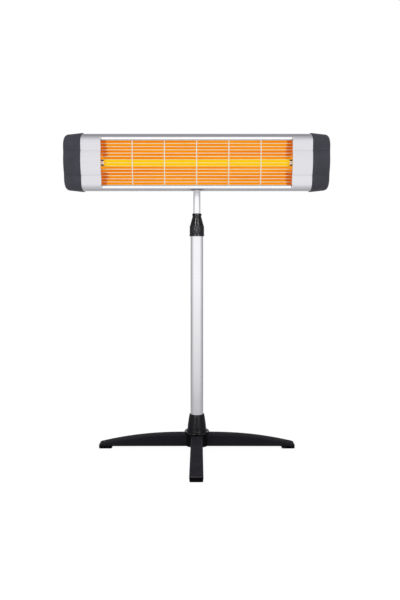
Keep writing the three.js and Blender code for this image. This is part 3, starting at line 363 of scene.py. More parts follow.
def glow(tree, strength):
    node = add(tree, "ShaderNodeEmission")
    node.inputs["Strength"].default_value = strength
    return node


def floor_material():
    """White to the camera but for a faint contact shadow, and mirrored darker behind the heater."""
    material = bpy.data.materials.new("floor_white")
    material.use_nodes = True
    tree = material.node_tree
    tree.nodes.clear()
    ray = add(tree, "ShaderNodeLightPath").outputs
    place, parts = place_on(tree)
    greys = [(where, grey, grey, grey * 1.02) for where, grey in FLOOR_GREYS]
    stops = [(0.0, 1.0, 1.0, 1.0), *greys, (1.0, 0.42, 0.42, 0.43)]
    near = colour_ramp(tree, map_range(tree, parts["Y"], -1.2, 1.2), stops)
    length = add(tree, "ShaderNodeVectorMath", operation="LENGTH")
    feed(tree, place, length.inputs[0])
    away = length.outputs["Value"]
    cosine = calculate(tree, "DIVIDE", parts["Y"], calculate(tree, "MAXIMUM", away, 0.05))
    far_share = map_range(tree, away, 1.6, 3.0, kind="SMOOTHSTEP")
    reflection = glow(tree, 1.12)
    feed(tree, mix_colours(tree, far_share, near, room_colour(tree, cosine)),
         reflection.inputs["Color"])
    shadowed = add(tree, "ShaderNodeBsdfDiffuse")
    shadowed.inputs["Color"].default_value = (0.8, 0.8, 0.8, 1)
    unseen = mix_shaders(tree, ray["Is Glossy Ray"], shadowed.outputs[0], reflection.outputs[0])
    whiteness = calculate(tree, "MULTIPLY", ray["Is Camera Ray"], 0.9)
    seen = mix_shaders(tree, whiteness, unseen, glow(tree, 1.06).outputs[0])
    feed(tree, seen, add(tree, "ShaderNodeOutputMaterial").inputs["Surface"])
    return material


def lay_floor():
    bm = bmesh.new()
    bmesh.ops.create_grid(bm, x_segments=1, y_segments=1, size=20)
    mesh = bpy.data.meshes.new("floor")
    bm.to_mesh(mesh)
    bm.free()
    mesh.materials.append(floor_material())
    floor = bpy.data.objects.new("floor", mesh)
    scene.collection.objects.link(floor)


place_camera()
light_world()
lay_floor()
area_light("front_softbox", (0.7, -3.4, 2.3), (0, 0, 0.8), (2.4, 1.8), 30)
area_light("left_softbox", (-2.6, -1.6, 1.7), (0, 0, 0.7), (1.2, 1.8), 10)
area_light("rear_softbox", (-0.6, 3.0, 2.4), (0, 0, 0.8), (2.4, 1.6), 22)
area_light("left_strip", (-1.3, -2.67, 1.45), (0, 0, 0.9), (0.28, 3.5), 110, mirrored_only=True)
area_light("right_strip", (1.25, -2.68, 1.45), (0, 0, 0.9), (0.28, 3.5), 95, mirrored_only=True)
scene.view_settings.view_transform = "Standard"


# ---------------------------------------------------------------- finishes


def base_material(name, colour, metal, roughness):
    material = bpy.data.materials.new(name)
    material.use_nodes = True
    tree = material.node_tree
    shader = tree.nodes["Principled BSDF"].inputs
    shader["Base Color"].default_value = (*colour, 1)
    shader["Metallic"].default_value = metal
    shader["Roughness"].default_value = roughness
    return material, tree, shader


def noise(tree, scale, stretch=(1, 1, 1), detail=3.0, roughness=0.55):
    """Noise over the piece's own place, drawn out along the small axes of stretch."""
    mapping = add(tree, "ShaderNodeMapping")
    mapping.inputs["Scale"].default_value = stretch
    feed(tree, add(tree, "ShaderNodeTexCoord").outputs["Object"], mapping.inputs["Vector"])
    pattern = add(tree, "ShaderNodeTexNoise")
    for name, value in (("Scale", scale), ("Detail", detail), ("Roughness", roughness),
                        ("Vector", mapping.outputs["Vector"])):
        feed(tree, value, pattern.inputs[name])
    return pattern.outputs["Fac"]


def relief(tree, source, shader, strength, distance):
    """Raises and sinks the surface by a pattern."""
    bump = add(tree, "ShaderNodeBump")
    for name, value in (("Strength", strength), ("Distance", distance), ("Height", source)):
        feed(tree, value, bump.inputs[name])
    feed(tree, bump.outputs["Normal"], shader["Normal"])


def roughen(tree, source, shader, low, high):
    """Varies the roughness by a pattern."""
    feed(tree, map_range(tree, source, 0.3, 0.7, low, high), shader["Roughness"])


def shaded(colour, share):
    return [min(1, channel * share) for channel in colour]


def anodised_aluminium(name, colour, grain_axis, roughness, low_end=1.0):
    """Drawn aluminium: fine die lines along one axis, and a satin skin, darker near the floor as
    painted shade.
    """
    material, tree, shader = base_material(name, colour, 0.92, roughness)
    along_grain = 0.012
    stretch = {"X": (along_grain, 1, 1), "Z": (1, 1, along_grain)}[grain_axis]
    lines = noise(tree, 900, stretch, 2.0)
    skin = tint(tree, noise(tree, 9, detail=4.0), shaded(colour, 0.98), shaded(colour, 1.02))
    _, place = place_on(tree)
    # Painted shade: the colour darkens towards the floor, down to low_end.
    painted_floor_shade = map_range(tree, place["Z"], 0.15, 0.56, low_end, 1.0)
    feed(tree, mix_colours(tree, 1.0, skin, painted_floor_shade, "MULTIPLY"), shader["Base Color"])
    roughen(tree, lines, shader, roughness - 0.02, roughness + 0.04)
    relief(tree, lines, shader, 0.03, 0.0001)
    return material


def moulded_plastic(name, colour, roughness, texture=2600, depth=0.00012, strength=0.25,
                    worn=1.25, shine=0.5):
    """Moulded plastic: a spark-eroded texture with faint worn and dusty places."""
    material, tree, shader = base_material(name, colour, 0.0, roughness)
    shader["Specular IOR Level"].default_value = shine
    skin = noise(tree, texture, detail=2.0)
    wear_and_highlight = noise(tree, 26, detail=5.0, roughness=0.6)
    feed(tree, tint(tree, wear_and_highlight, shaded(colour, 0.88), shaded(colour, worn), 0.35, 0.75),
         shader["Base Color"])
    roughen(tree, wear_and_highlight, shader, roughness - 0.05, roughness + 0.08)
    relief(tree, skin, shader, strength, depth)
    return material


def dusty_plastic(name, colour, worn=1.4, shine=0.03):
    """Moulded plastic with the coarser skin of a top that dust settles on."""
    return moulded_plastic(name, colour, 0.5, texture=700, depth=0.0002, strength=0.3,
                           worn=worn, shine=shine)


def plated_steel(name):
    """Zinc plate with a faint spangle."""
    material, tree, shader = base_material(name, (0.56, 0.56, 0.58), 1.0, 0.3)
    spangle = noise(tree, 320)
    feed(tree, tint(tree, spangle, (0.49, 0.485, 0.51), (0.63, 0.625, 0.65)),
         shader["Base Color"])
    roughen(tree, spangle, shader, 0.24, 0.4)
    relief(tree, noise(tree, 1500), shader, 0.1, 0.0001)
    return material


def soft_rubber(name):
    """Dull rubber with dust in its skin."""
    material, tree, shader = base_material(name, (0.003, 0.003, 0.003), 0.0, 0.82)
    shader["Specular IOR Level"].default_value = 0.04
    dust = noise(tree, 60, detail=5.0)
    feed(tree, tint(tree, dust, (0.0020, 0.0020, 0.0022), (0.0050, 0.0048, 0.0052), 0.4, 0.75),
         shader["Base Color"])
    relief(tree, noise(tree, 1800), shader, 0.35, 0.0002)
    return material


def painted_glow_reflector(name):
    """A sheet whose light from the lamp is painted on as its own orange glow, in streaks along it,
    with painted shade in deep orange at both ends.
    """
    lamp_height = 0.938
    material, tree, shader = base_material(name, (0.04, 0.010, 0.001), 0.3, 0.4)
    shader["Specular IOR Level"].default_value = 0.01
    shader["Emission Strength"].default_value = 0.97
    _, place = place_on(tree)
    from_middle = calculate(tree, "MULTIPLY_ADD", noise(tree, 60, (0.5, 1, 1), 2.0), 0.010,
                            calculate(tree, "ABSOLUTE", place["X"]))
    from_lamp = calculate(tree, "ABSOLUTE", calculate(tree, "SUBTRACT", place["Z"], lamp_height))
    streaks = tint(tree, noise(tree, 75, (0.035, 1, 1)), (0.84, 0.180, 0.000),
                   (1.0, 0.355, 0.003), 0.32, 0.68)
    # Painted shade: deeper orange away from the lamp's height at both ends.
    ends = mix_colours(tree, map_range(tree, from_lamp, 0.014, 0.030, kind="SMOOTHSTEP"),
                       (0.90, 0.30, 0.003, 1), (0.62, 0.095, 0.000, 1))
    feed(tree, mix_colours(tree, map_range(tree, from_middle, 0.2885, 0.2955), streaks, ends),
         shader["Emission Color"])
    relief(tree, noise(tree, 140, (0.1, 1, 1), 2.0), shader, 0.1, 0.0004)
    return material


def hot_quartz(name):
    """The lamp's glowing tube: yellow all over, a little more orange towards its ends."""
    material, tree, shader = base_material(name, (0.01, 0.005, 0.0), 0.0, 0.3)
    shader["Specular IOR Level"].default_value = 0.01
    shader["Emission Strength"].default_value = 1.0
    _, place = place_on(tree)
    feed(tree, tint(tree, calculate(tree, "ABSOLUTE", place["X"]), (1.0, 0.60, 0.000),
                    (0.96, 0.44, 0.002), 0.288, 0.299), shader["Emission Color"])
    relief(tree, noise(tree, 60, (0.3, 1, 1)), shader, 0.05, 0.0002)
    return material


def guard_wire(name, colour):
    """Bright coated wire, its colour warmed by painted light from the lamp behind it, and darkened
    towards the lamp's ends as painted shade.
    """
    material, tree, shader = base_material(name, colour, 0.15, 0.42)
    coat = tint(tree, noise(tree, 240, (0.2, 1, 1)), shaded(colour, 0.95), shaded(colour, 1.07))
    wire_end_shade = (colour[0] * 0.80, colour[1] * 0.62, colour[2] * 0.50, 1)
    _, place = place_on(tree)
    # Painted shade towards the lamp's ends.
    ends = map_range(tree, calculate(tree, "ABSOLUTE", place["X"]), 0.281, 0.288)
    feed(tree, mix_colours(tree, ends, coat, wire_end_shade), shader["Base Color"])
    relief(tree, noise(tree, 900), shader, 0.15, 0.0001)
    return material


def glowing_coil(name):
    """The coil inside the lamp, uneven in its glow."""
    material, tree, shader = base_material(name, (0.03, 0.02, 0.01), 0.2, 0.5)
    shader["Emission Strength"].default_value = 1.0
    feed(tree, tint(tree, noise(tree, 400, (0.3, 1, 1), 2.0), (1.0, 0.56, 0.03),
                    (1.0, 0.74, 0.16)), shader["Emission Color"])
    return material


def lit_from_lamp(material, colour, strength):
    """Paints a faint glow into a finish, standing in for the lamp's light on it."""
    shader = material.node_tree.nodes["Principled BSDF"].inputs
    shader["Emission Color"].default_value = (*colour, 1)
    shader["Emission Strength"].default_value = strength
    return material


silver_along = anodised_aluminium("head_aluminium", (0.70, 0.693, 0.725), "X", 0.22)
# The pole tube takes painted shade towards the floor.
silver_up = anodised_aluminium("tube_aluminium", (0.85, 0.845, 0.87), "Z", 0.24, low_end=0.66)
polished_up = anodised_aluminium("mast_aluminium", (0.92, 0.91, 0.935), "Z", 0.13)
lip_highlight = anodised_aluminium("window_edge_painted_highlight", (0.93, 0.93, 0.94), "X", 0.2)
shaded_edge = anodised_aluminium("window_step_painted_shade", (0.45, 0.46, 0.50), "X", 0.3)
reflector_back = anodised_aluminium("reflector_back", (0.50, 0.49, 0.49), "X", 0.4)
slate = moulded_plastic("cap_slate", (0.050, 0.050, 0.063), 0.5, shine=0.22)
black = moulded_plastic("stand_black", (0.0070, 0.0064, 0.0088), 0.36, shine=0.09)
leg_black = moulded_plastic("leg_black", (0.0096, 0.0088, 0.0120), 0.4, shine=0.08)
leg_highlight_black = moulded_plastic("leg_edge_painted_highlight", (0.034, 0.031, 0.038), 0.4, shine=0.2)
leg_end_shade_black = moulded_plastic("leg_end_painted_shade", (0.0018, 0.0016, 0.0020), 0.7, shine=0.03)
shaded_black = moulded_plastic("hub_skirt_painted_shade", (0.0042, 0.0038, 0.0050), 0.6, shine=0.02)
# Lighter blacks for the legs' tops and shoulders: painted light over a dusty skin.
dust_and_light_top_black = dusty_plastic("leg_top_dust_and_painted_light", (0.0210, 0.0195, 0.0246))
shoulder_painted_light = dusty_plastic("leg_shoulder_painted_light", (0.0215, 0.0200, 0.0255))
side_top_painted_light = dusty_plastic("side_leg_top_painted_light", (0.0112, 0.0102, 0.0135), worn=1.5, shine=0.02)
knurled_black = moulded_plastic("collar_grip_black", (0.0075, 0.0070, 0.0095), 0.26, texture=900,
                                depth=0.0002, strength=0.35, worn=1.8, shine=0.2)
gloss_black = moulded_plastic("collar_black", (0.0050, 0.0046, 0.0062), 0.2, strength=0.05,
                              shine=0.25)
# A dark black for the lamp clips, as painted shade round the lamp's ends.
clip_shade_black = moulded_plastic("clip_painted_shade", (0.012, 0.011, 0.014), 0.5, 900, worn=1.6, shine=0.3)
collet_white = moulded_plastic("collet_white", (0.72, 0.71, 0.68), 0.45, worn=1.05)
ceramic = moulded_plastic("lamp_ceramic", (0.80, 0.79, 0.77), 0.65, 900, worn=1.05)
lit_ceramic = lit_from_lamp(
    moulded_plastic("lamp_end_ceramic_painted_glow", (0.80, 0.79, 0.77), 0.6, 900, worn=1.05),
    (0.86, 0.85, 0.88), 0.55)
steel = plated_steel("zinc_steel")
rubber = soft_rubber("pad_rubber")
reflector_gold = painted_glow_reflector("reflector_painted_glow")
quartz = hot_quartz("quartz_glow")
hot_wire = glowing_coil("filament_glow")
wire = guard_wire("guard_wire_coat", (0.90, 0.87, 0.66))
lamp_lit_wire = guard_wire("guard_wire_painted_lamp_light", (0.97, 0.82, 0.36))
cross_wire = guard_wire("guard_bar_coat", (0.90, 0.91, 0.79))


# ---------------------------------------------------------------- head

GROOVE_DEPTH = 0.55
GROOVE_HALF = 1.0


def corner_radii(inset):
    """Depth and height of the section's front and back corners, inset from its outline."""
    height = FRONT_CORNER - inset
    return (FRONT_CORNER_DEPTH - BULGE_RISE - inset, height), (BACK_CORNER - inset, height)


def front_line(inset, half):
    """The front of the section from one height to the other, with a fine groove at both creases."""
    bulge = []
    steps = 20
    for i in range(steps + 1):
        height = -BULGE_HALF + 2 * BULGE_HALF * i / steps
        bulge.append((inset + BULGE_RISE * (height / BULGE_HALF) ** 2, height))
    crease, next_in = bulge[0][0], bulge[1][0]
    groove = [(crease, -BULGE_HALF - GROOVE_HALF), (crease + GROOVE_DEPTH, -BULGE_HALF),
              (next_in * 0.12 + crease * 0.88, -BULGE_HALF + GROOVE_HALF)]
    (deep, high), _ = corner_radii(inset)
    corner = arc((FRONT_CORNER_DEPTH, SHOULDER), (deep, high), 180, 90, 22)
    upper = [p for p in corner if p[1] < half]
    if half < SHOULDER + high:
        reach = (half - SHOULDER) / high
        upper.append((FRONT_CORNER_DEPTH - deep * math.sqrt(max(0.0, 1 - reach ** 2)), half))
    return [*mirrored(upper), *groove, *bulge[1:-1], *mirrored(groove), *upper]


def section_ring(inset):
    """The whole outline of the section, once round."""
    front = front_line(inset, SHOULDER + FRONT_CORNER)
    _, back_radii = corner_radii(inset)
    back_top = arc((BACK_CORNER_DEPTH, SHOULDER), back_radii, 90, 0, 16)
    crown = (FRONT_CORNER_DEPTH, SHOULDER + FRONT_CORNER - inset)
    return [*front, crown, *back_top, *mirrored(back_top), *mirrored([crown])]


VENT_COLUMNS = [side * x for side in (-1, 1) for x in range(60, 261, 40)]
VENT_HEIGHT = 45
VENT_HALF_HEIGHT = 1.5
VENT_HALF_LENGTH = 12


def cut_through(bm, point, direction):
    """Cuts all faces along a plane."""
    bmesh.ops.bisect_plane(bm, geom=[*bm.verts, *bm.edges, *bm.faces], plane_co=point,
                           plane_no=direction)


def cut_vents(bm, back):
    """Cuts two rows of short slots in the back of the housing."""
    for x in VENT_COLUMNS:
        for edge in (x - VENT_HALF_LENGTH, x + VENT_HALF_LENGTH):
            cut_through(bm, (edge, 0, 0), (1, 0, 0))
    for row in (-VENT_HEIGHT, VENT_HEIGHT):
        for height in (row - VENT_HALF_HEIGHT, row + VENT_HALF_HEIGHT):
            cut_through(bm, in_head(0, height), (0, 0, 1))
    slots = []
    for face in bm.faces:
        centre = face.calc_center_median()
        if (abs(centre.y - in_head(back, 0).y) < 0.1
                and abs(abs(centre.z - MIDDLE_RISE) - VENT_HEIGHT) < VENT_HALF_HEIGHT
                and any(abs(centre.x - x) < VENT_HALF_LENGTH for x in VENT_COLUMNS)):
            slots.append(face)
    bmesh.ops.delete(bm, geom=slots, context="FACES")


def make_housing():
    """The folded housing, open in front, with rolled lips that turn in at the window."""
    bm = bmesh.new()
    back = CAP_DEPTH - SHELL_INSET
    channel_edge = 3.5
    step = LIP_EDGE - 0.6
    front_radii, back_radii = corner_radii(SHELL_INSET)
    back_corner = arc((BACK_CORNER_DEPTH, SHOULDER), back_radii, 0, 90, 16)
    front_corner = arc((FRONT_CORNER_DEPTH, SHOULDER), front_radii, 90, 180, 26)
    rolled_lip = [(20.9, 80.1), (21.0, 79.4), (21.4, 78.9), (21.4, step), (LIP_DEPTH + 1, step),
                  (LIP_DEPTH + 1, step - 2)]
    upper = [(back, channel_edge), (back, SHOULDER), *back_corner[1:],
             *[p for p in front_corner if p[1] > WINDOW_HALF_HEIGHT + 0.8], *rolled_lip]
    for sign in (1, -1):
        pulled(bm, [in_head(d, sign * h, -SHELL_END) for d, h in upper], (2 * SHELL_END, 0, 0))
    cut_vents(bm, back)
    bm.normal_update()
    for face in bm.faces:
        centre = face.calc_center_median()
        if face.normal.dot(centre - in_head(60, 0, centre.x)) < 0:
            face.normal_flip()
    bmesh.ops.remove_doubles(bm, verts=bm.verts, dist=0.001)
    bm.transform(head_place)
    piece = keep_as_is(bm, "housing_skin", silver_along, "head",
                       ("housing_profile",), crease=24, thickness=SHELL_WALL)
    add_finishes(piece, lip_highlight, shaded_edge)
    # The window's lip takes a lighter copy of the aluminium as a painted highlight, and the step
    # below it a darker copy as painted shade.
    for face in piece.data.polygons:
        spot = head_place.inverted() @ face.center
        depth, height = spot.y + PIVOT_DEPTH, abs(spot.z - MIDDLE_RISE)
        if depth < 30 and height < LIP_EDGE - 0.5:
            face.material_index = 2
        elif depth < 30 and height < WINDOW_HALF_HEIGHT - 0.5:
            face.material_index = 1


def make_channel():
    """The channel along the middle of the back, in which the bracket's bolts slide."""
    bm = bmesh.new()
    half = 8
    back = CAP_DEPTH - SHELL_INSET - SHELL_WALL
    inside = back - 7
    section = [(back, half), (inside, half), (inside, -half), (back, -half)]
    pulled(bm, [in_head(d, h, -SHELL_END) for d, h in section], (2 * SHELL_END, 0, 0))
    piece = keep(bm, "housing_channel", silver_along, "head",
                 thickness=SHELL_WALL, at=head_place)
    piece.modifiers["wall"].offset = 0


def make_panel(side):
    """A front sheet between window and cap, with a flange that turns in at the window."""
    bm = bmesh.new()
    flange_depth = 12
    front = front_line(SHELL_INSET, WINDOW_HALF_HEIGHT - 0.3)
    pulled(bm, [in_head(d, h, WINDOW_HALF_LENGTH) for d, h in front],
           (SHELL_END - WINDOW_HALF_LENGTH, 0, 0))
    window_edge = [e for e in bm.edges
                   if all(abs(v.co.x - WINDOW_HALF_LENGTH) < 0.01 for v in e.verts)]
    for v in extruded(bm, window_edge)[0]:
        v.co.y = in_head(flange_depth, 0).y
    if side == "left":
        bmesh.ops.scale(bm, vec=(-1, 1, 1), verts=bm.verts)
    bmesh.ops.remove_doubles(bm, verts=bm.verts, dist=0.001)
    bm.normal_update()
    to_window = Vector((-1 if side == "right" else 1, 0, 0))
    for face in bm.faces:
        outwards = Vector((0, -1, 0)) if abs(face.normal.x) < 0.5 else to_window
        if face.normal.dot(outwards) < 0:
            face.normal_flip()
    bm.transform(head_place)
    keep_as_is(bm, f"front_sheet_{side}", silver_along, "head",
               (f"front_panel_{side}",), crease=24, thickness=1.5)


CAP_HEIGHT = 2 * (SHOULDER + FRONT_CORNER)
CAP_DRAFT = 4.5
CAP_END_CORNER = 15
CAP_END_ROUNDING = 12
CAP_INSET = 0.35
CAP_RIM = 0.5
DIAL_DEPTH = FRONT_CORNER_DEPTH + 8
DIAL_RECESS_RADIUS = 17.6


def cap_stations():
    """How far out each ring of a cap lies and how far it is drawn in: rim, draft and round end."""
    straight = CAP_END - CAP_INNER_EDGE - CAP_END_CORNER
    stations = [(0.35, 0.0), (0.9, 0.12), (12, CAP_DRAFT * 12 / straight),
                (24, CAP_DRAFT * 24 / straight), (straight, CAP_DRAFT)]
    for i in range(1, 11):
        bend = math.sin(math.radians(9 * i))
        drawn_in = CAP_END_ROUNDING * (1 - math.sqrt(max(0.0, 1 - bend ** 2)))
        stations.append((straight + CAP_END_CORNER * bend, CAP_DRAFT + drawn_in))
    return stations


def sink_dial_recess(bm, edges):
    """Closes the right cap's end round a shallow recess for the dial."""
    end = in_head(DIAL_DEPTH, 0, CAP_END)
    circle = bmesh.ops.create_circle(
        bm, cap_ends=False, segments=48, radius=DIAL_RECESS_RADIUS,
        matrix=Matrix.Translation(end) @ Matrix.Rotation(math.pi / 2, 4, "Y"))["verts"]
    rim = list(dict.fromkeys(e for v in circle for e in v.link_edges))
    bmesh.ops.bridge_loops(bm, edges=edges + rim)
    for move, scale in ((-0.8, 0.965), (-9.0, 1.0)):
        verts, rim = extruded(bm, rim)
        bmesh.ops.translate(bm, vec=(move, 0, 0), verts=verts)
        bmesh.ops.scale(bm, vec=(1, scale, scale), verts=verts, space=Matrix.Translation(-end))
    bmesh.ops.contextual_create(bm, geom=rim)


def make_cap(side):
    """An end cap, drawn out ring by ring from its inner edge to its rounded end."""
    bm = bmesh.new()
    middle = Matrix.Translation(-in_head(CAP_DEPTH / 2, 0))
    verts, edges = ring(bm, [in_head(d, h, CAP_INNER_EDGE) for d, h in section_ring(CAP_INSET)])
    shares = (CAP_DEPTH - 2 * CAP_RIM) / CAP_DEPTH, (CAP_HEIGHT - 2 * CAP_RIM) / CAP_HEIGHT
    bmesh.ops.scale(bm, vec=(1, *shares), verts=verts, space=middle)
    reached = 0.0
    for out, drawn_in in cap_stations():
        verts, edges = extruded(bm, edges)
        bmesh.ops.translate(bm, vec=(out - reached, 0, 0), verts=verts)
        wanted = (CAP_DEPTH - 2 * drawn_in) / CAP_DEPTH, (CAP_HEIGHT - 2 * drawn_in) / CAP_HEIGHT
        bmesh.ops.scale(bm, vec=(1, wanted[0] / shares[0], wanted[1] / shares[1]), verts=verts,
                        space=middle)
        shares, reached = wanted, out
    if side == "right":
        sink_dial_recess(bm, edges)
    else:
        bmesh.ops.contextual_create(bm, geom=edges)
        bmesh.ops.scale(bm, vec=(-1, 1, 1), verts=bm.verts)
    bmesh.ops.remove_doubles(bm, verts=bm.verts, dist=0.001)
    bmesh.ops.recalc_face_normals(bm, faces=bm.faces)
    bm.transform(head_place)
    keep_as_is(bm, f"cap_moulding_{side}", slate, "head", (f"end_cap_{side}",),
               crease=26, thickness=2.4)


REFLECTOR_HALF_LENGTH = 302
REFLECTOR_HALF_HEIGHT = 75
REFLECTOR_FLANGE = 5.5
REFLECTOR_FRONT = 33
REFLECTOR_BACK = 88


def make_reflector():
    """A bowed sheet with a flange above and below, with a painted glow in front and plain at its
    back.
    """
    bm = bmesh.new()
    steps = 48
    curve = []
    for i in range(steps + 1):
        height = REFLECTOR_HALF_HEIGHT - 2 * REFLECTOR_HALF_HEIGHT * i / steps
        hollow = (REFLECTOR_BACK - REFLECTOR_FRONT) * (height / REFLECTOR_HALF_HEIGHT) ** 2
        curve.append((REFLECTOR_BACK - hollow, height))
    flange_end = REFLECTOR_HALF_HEIGHT + REFLECTOR_FLANGE
    section = [(REFLECTOR_FRONT, flange_end), *curve, (REFLECTOR_FRONT, -flange_end)]
    pulled(bm, [in_head(d, h, -REFLECTOR_HALF_LENGTH) for d, h in section],
           (2 * REFLECTOR_HALF_LENGTH, 0, 0))
    piece = keep(bm, "reflector_sheet", reflector_gold, "head", ("reflector",),
                 thickness=1.2, at=head_place)
    if piece.data.polygons[len(curve) // 2].normal.y > 0:
        piece.data.flip_normals()
    add_finishes(piece, reflector_back)
    wall = piece.modifiers["wall"]
    wall.offset = 0
    wall.material_offset = 1


GUARD_EDGE_DEPTH = 27.17
GUARD_BOW = 12
GUARD_HALF_HEIGHT = 77
GUARD_HALF_LENGTH = 301.8
BAR_RADIUS = 1.5
BAR_PLACES = (-GUARD_HALF_LENGTH, -202, -101, 0, 101, 202, GUARD_HALF_LENGTH)
WIRE_RADIUS = 1.2
WIRE_PITCH = 10
WIRES_EACH_SIDE = 7


def bar_bow(height):
    """How deep a bowed bar lies at a height."""
    return GUARD_EDGE_DEPTH - GUARD_BOW * (1 - (height / GUARD_HALF_HEIGHT) ** 2)


def make_guard():
    """Bowed upright bars with straight wires welded behind them."""
    bm = bmesh.new()
    for x in BAR_PLACES:
        rod_between(bm, BAR_RADIUS, in_head(0, -GUARD_HALF_HEIGHT, x),
                    in_head(0, GUARD_HALF_HEIGHT, x), cuts=20)
    for v in bm.verts:
        v.co.y += bar_bow(v.co.z - MIDDLE_RISE)
    for face in bm.faces:
        face.material_index = 1
    wire_end = GUARD_HALF_LENGTH + BAR_RADIUS
    for i in range(-WIRES_EACH_SIDE, WIRES_EACH_SIDE + 1):
        height = i * WIRE_PITCH
        depth = bar_bow(height) + 2.2
        rod = rod_between(bm, WIRE_RADIUS, in_head(depth, height, -wire_end),
                          in_head(depth, height, wire_end))
        # The wires nearest the lamp take a warmer copy as painted lamp light.
        if abs(height) <= WIRE_PITCH:
            for face in {face for v in rod for face in v.link_faces}:
                face.material_index = 2
    bm.transform(head_place)
    piece = keep_as_is(bm, "wire_guard", wire, "head", ("guard_grille",), crease=50)
    add_finishes(piece, cross_wire, lamp_lit_wire)


LAMP_DEPTH = 60
LAMP_RADIUS = 9.5
LAMP_BORE = 8.0
LAMP_HALF = 297


def make_lamp():
    """The lamp's glass tube."""
    bm = bmesh.new()
    rim = LAMP_RADIUS - 0.4
    edge = LAMP_HALF - 0.4
    turned(bm, [(LAMP_BORE, -LAMP_HALF), (rim, -LAMP_HALF), (LAMP_RADIUS, -edge),
                (LAMP_RADIUS, edge), (rim, LAMP_HALF), (LAMP_BORE, LAMP_HALF),
                (LAMP_BORE, -LAMP_HALF)], 40, "X", in_head(LAMP_DEPTH, 0))
    keep(bm, "lamp_tube", quartz, "head", ("quartz_tube",), at=head_place)


def make_lamp_ends():
    """The ceramic base at each end of the lamp, with a painted glow, and a dark clip over it and
    one under it that stand in as painted shade.
    """
    clips, bases = bmesh.new(), bmesh.new()
    depth = 52
    for x in (-299.6, 299.6):
        block(bases, (5.0, 26, 9.4), in_head(depth, 0, x))
        for height in (-8.3, 8.3):
            block(clips, (5.4, 38, 6.6), in_head(depth, height, x))
    keep(clips, "lamp_clips", clip_shade_black, "head", at=head_place, bevel=0.5)
    keep(bases, "lamp_bases", lit_ceramic, "head", at=head_place, bevel=0.5)


make_housing()
make_channel()
for side in ("right", "left"):
    make_panel(side)
    make_cap(side)
make_reflector()
make_guard()
make_lamp()
make_lamp_ends()


# ---------------------------------------------------------------- pole


def make_tube(name, finish, inner, outer, bottom, top, node, body):
    """A drawn tube with its outer edges broken."""
    bm = bmesh.new()
    edge = 0.3
    turned(bm, [(inner, bottom), (outer - edge, bottom), (outer, bottom + edge),
                (outer, top - edge), (outer - edge, top), (inner, top), (inner, bottom)], 72)
    keep(bm, name, finish, body, (node,))


COLLAR_BOTTOM = 706
COLLAR_BORE = 21.9
GRIP_TOP = COLLAR_BOTTOM + 35
GRIP_RIBS = 32
RIB_DEPTH = 0.6


def make_collar():
    """A turned collar: a smooth ring, a finely ribbed grip, a cone and a round mouth."""
    bm = bmesh.new()
    from_bottom = [(COLLAR_BORE, 0), (23.3, 0), (24.6, 0.6), (24.9, 4), (24.6, 7.4), (24.0, 8),
                   (23.7, 8.6), (24.2, 9.2)]
    from_grip_top = [(24.1, -1.4), (23.4, 0), (22.6, 2.5), (14.4, 32.4), (14.9, 33.4),
                     (15.8, 34.4), (15.8, 40.3), (15.5, 41), (14.6, 41.5), (12.6, 41.5),
                     (12.6, 29), (19.4, 0.5)]
    turned(bm, [*[(r, COLLAR_BOTTOM + h) for r, h in from_bottom],
                *[(r, GRIP_TOP + h) for r, h in from_grip_top],
                (COLLAR_BORE, COLLAR_BOTTOM + 15), (COLLAR_BORE, COLLAR_BOTTOM)], 192)
    for v in bm.verts:
        radius = math.hypot(v.co.x, v.co.y)
        if radius > 23.6 and COLLAR_BOTTOM + 9 < v.co.z < GRIP_TOP - 1:
            rib = 0.5 + 0.5 * math.cos(GRIP_RIBS * math.atan2(v.co.y, v.co.x))
            shrink = (radius - RIB_DEPTH * (1 - rib)) / radius
            v.co.x *= shrink
            v.co.y *= shrink
    piece = keep(bm, "lock_collar", knurled_black, "collar", ("twist_collar",),
                 crease=28)
    add_finishes(piece, gloss_black)
    for face in piece.data.polygons:
        height = face.center.z * METRE
        if height < COLLAR_BOTTOM + 8.5 or height > GRIP_TOP + 0.2:
            face.material_index = 1


make_tube("pole_tube", silver_up, 19.8, 21.3, 22.3, 716, "outer_tube", "stand")
make_tube("mast_tube", polished_up, 10.8, 12.0, 300, 879.7, "inner_tube", "mast")
make_collar()


# ---------------------------------------------------------------- foot

HUB_SKIRT = 37
LEG_TURNS = {"right": 0, "rear": 90, "left": 180, "front": 270}
LEG_START = 31.2
LEG_REACH = 326
LEG_TOP = 46.6
LEG_FALL = 32.4
LEG_LOWER_EDGE = 8
LEG_HALF_WIDTH = 19.25
LEG_FLARE = 0.07
LEG_SHOULDER = 4.4
LEG_TIP_CORNER = 4.2
LEG_TIP_DROP = 2.8
LEG_TIP_BAND = 1.3
LEG_HOOPS = 28
TIP_HOOPS = 6


def leg_top(reach):
    """The height of a leg's top, level at the hub and falling towards its tip."""
    share = max(0.0, (reach - HUB_SKIRT) / (LEG_REACH - HUB_SKIRT))
    return LEG_TOP - LEG_FALL * share ** 2.2


def leg_section(reach, inset=0.0, drop=0.0):
    """A leg's hoop at one reach, open below, with rounded shoulders."""
    share = (reach - LEG_START) / (LEG_REACH - LEG_START)
    half = LEG_HALF_WIDTH * (1 + LEG_FLARE * share ** 2) - inset
    height = leg_top(reach) - drop
    shoulder = min(LEG_SHOULDER, (height - LEG_LOWER_EDGE) * 0.6)
    rounding = arc((half - shoulder, height - shoulder), (shoulder, shoulder), 0, 90, 6)
    right = [(half, LEG_LOWER_EDGE), *rounding]
    return [(reach, y, z) for y, z in [*right, *[(-y, z) for y, z in reversed(right)]]]


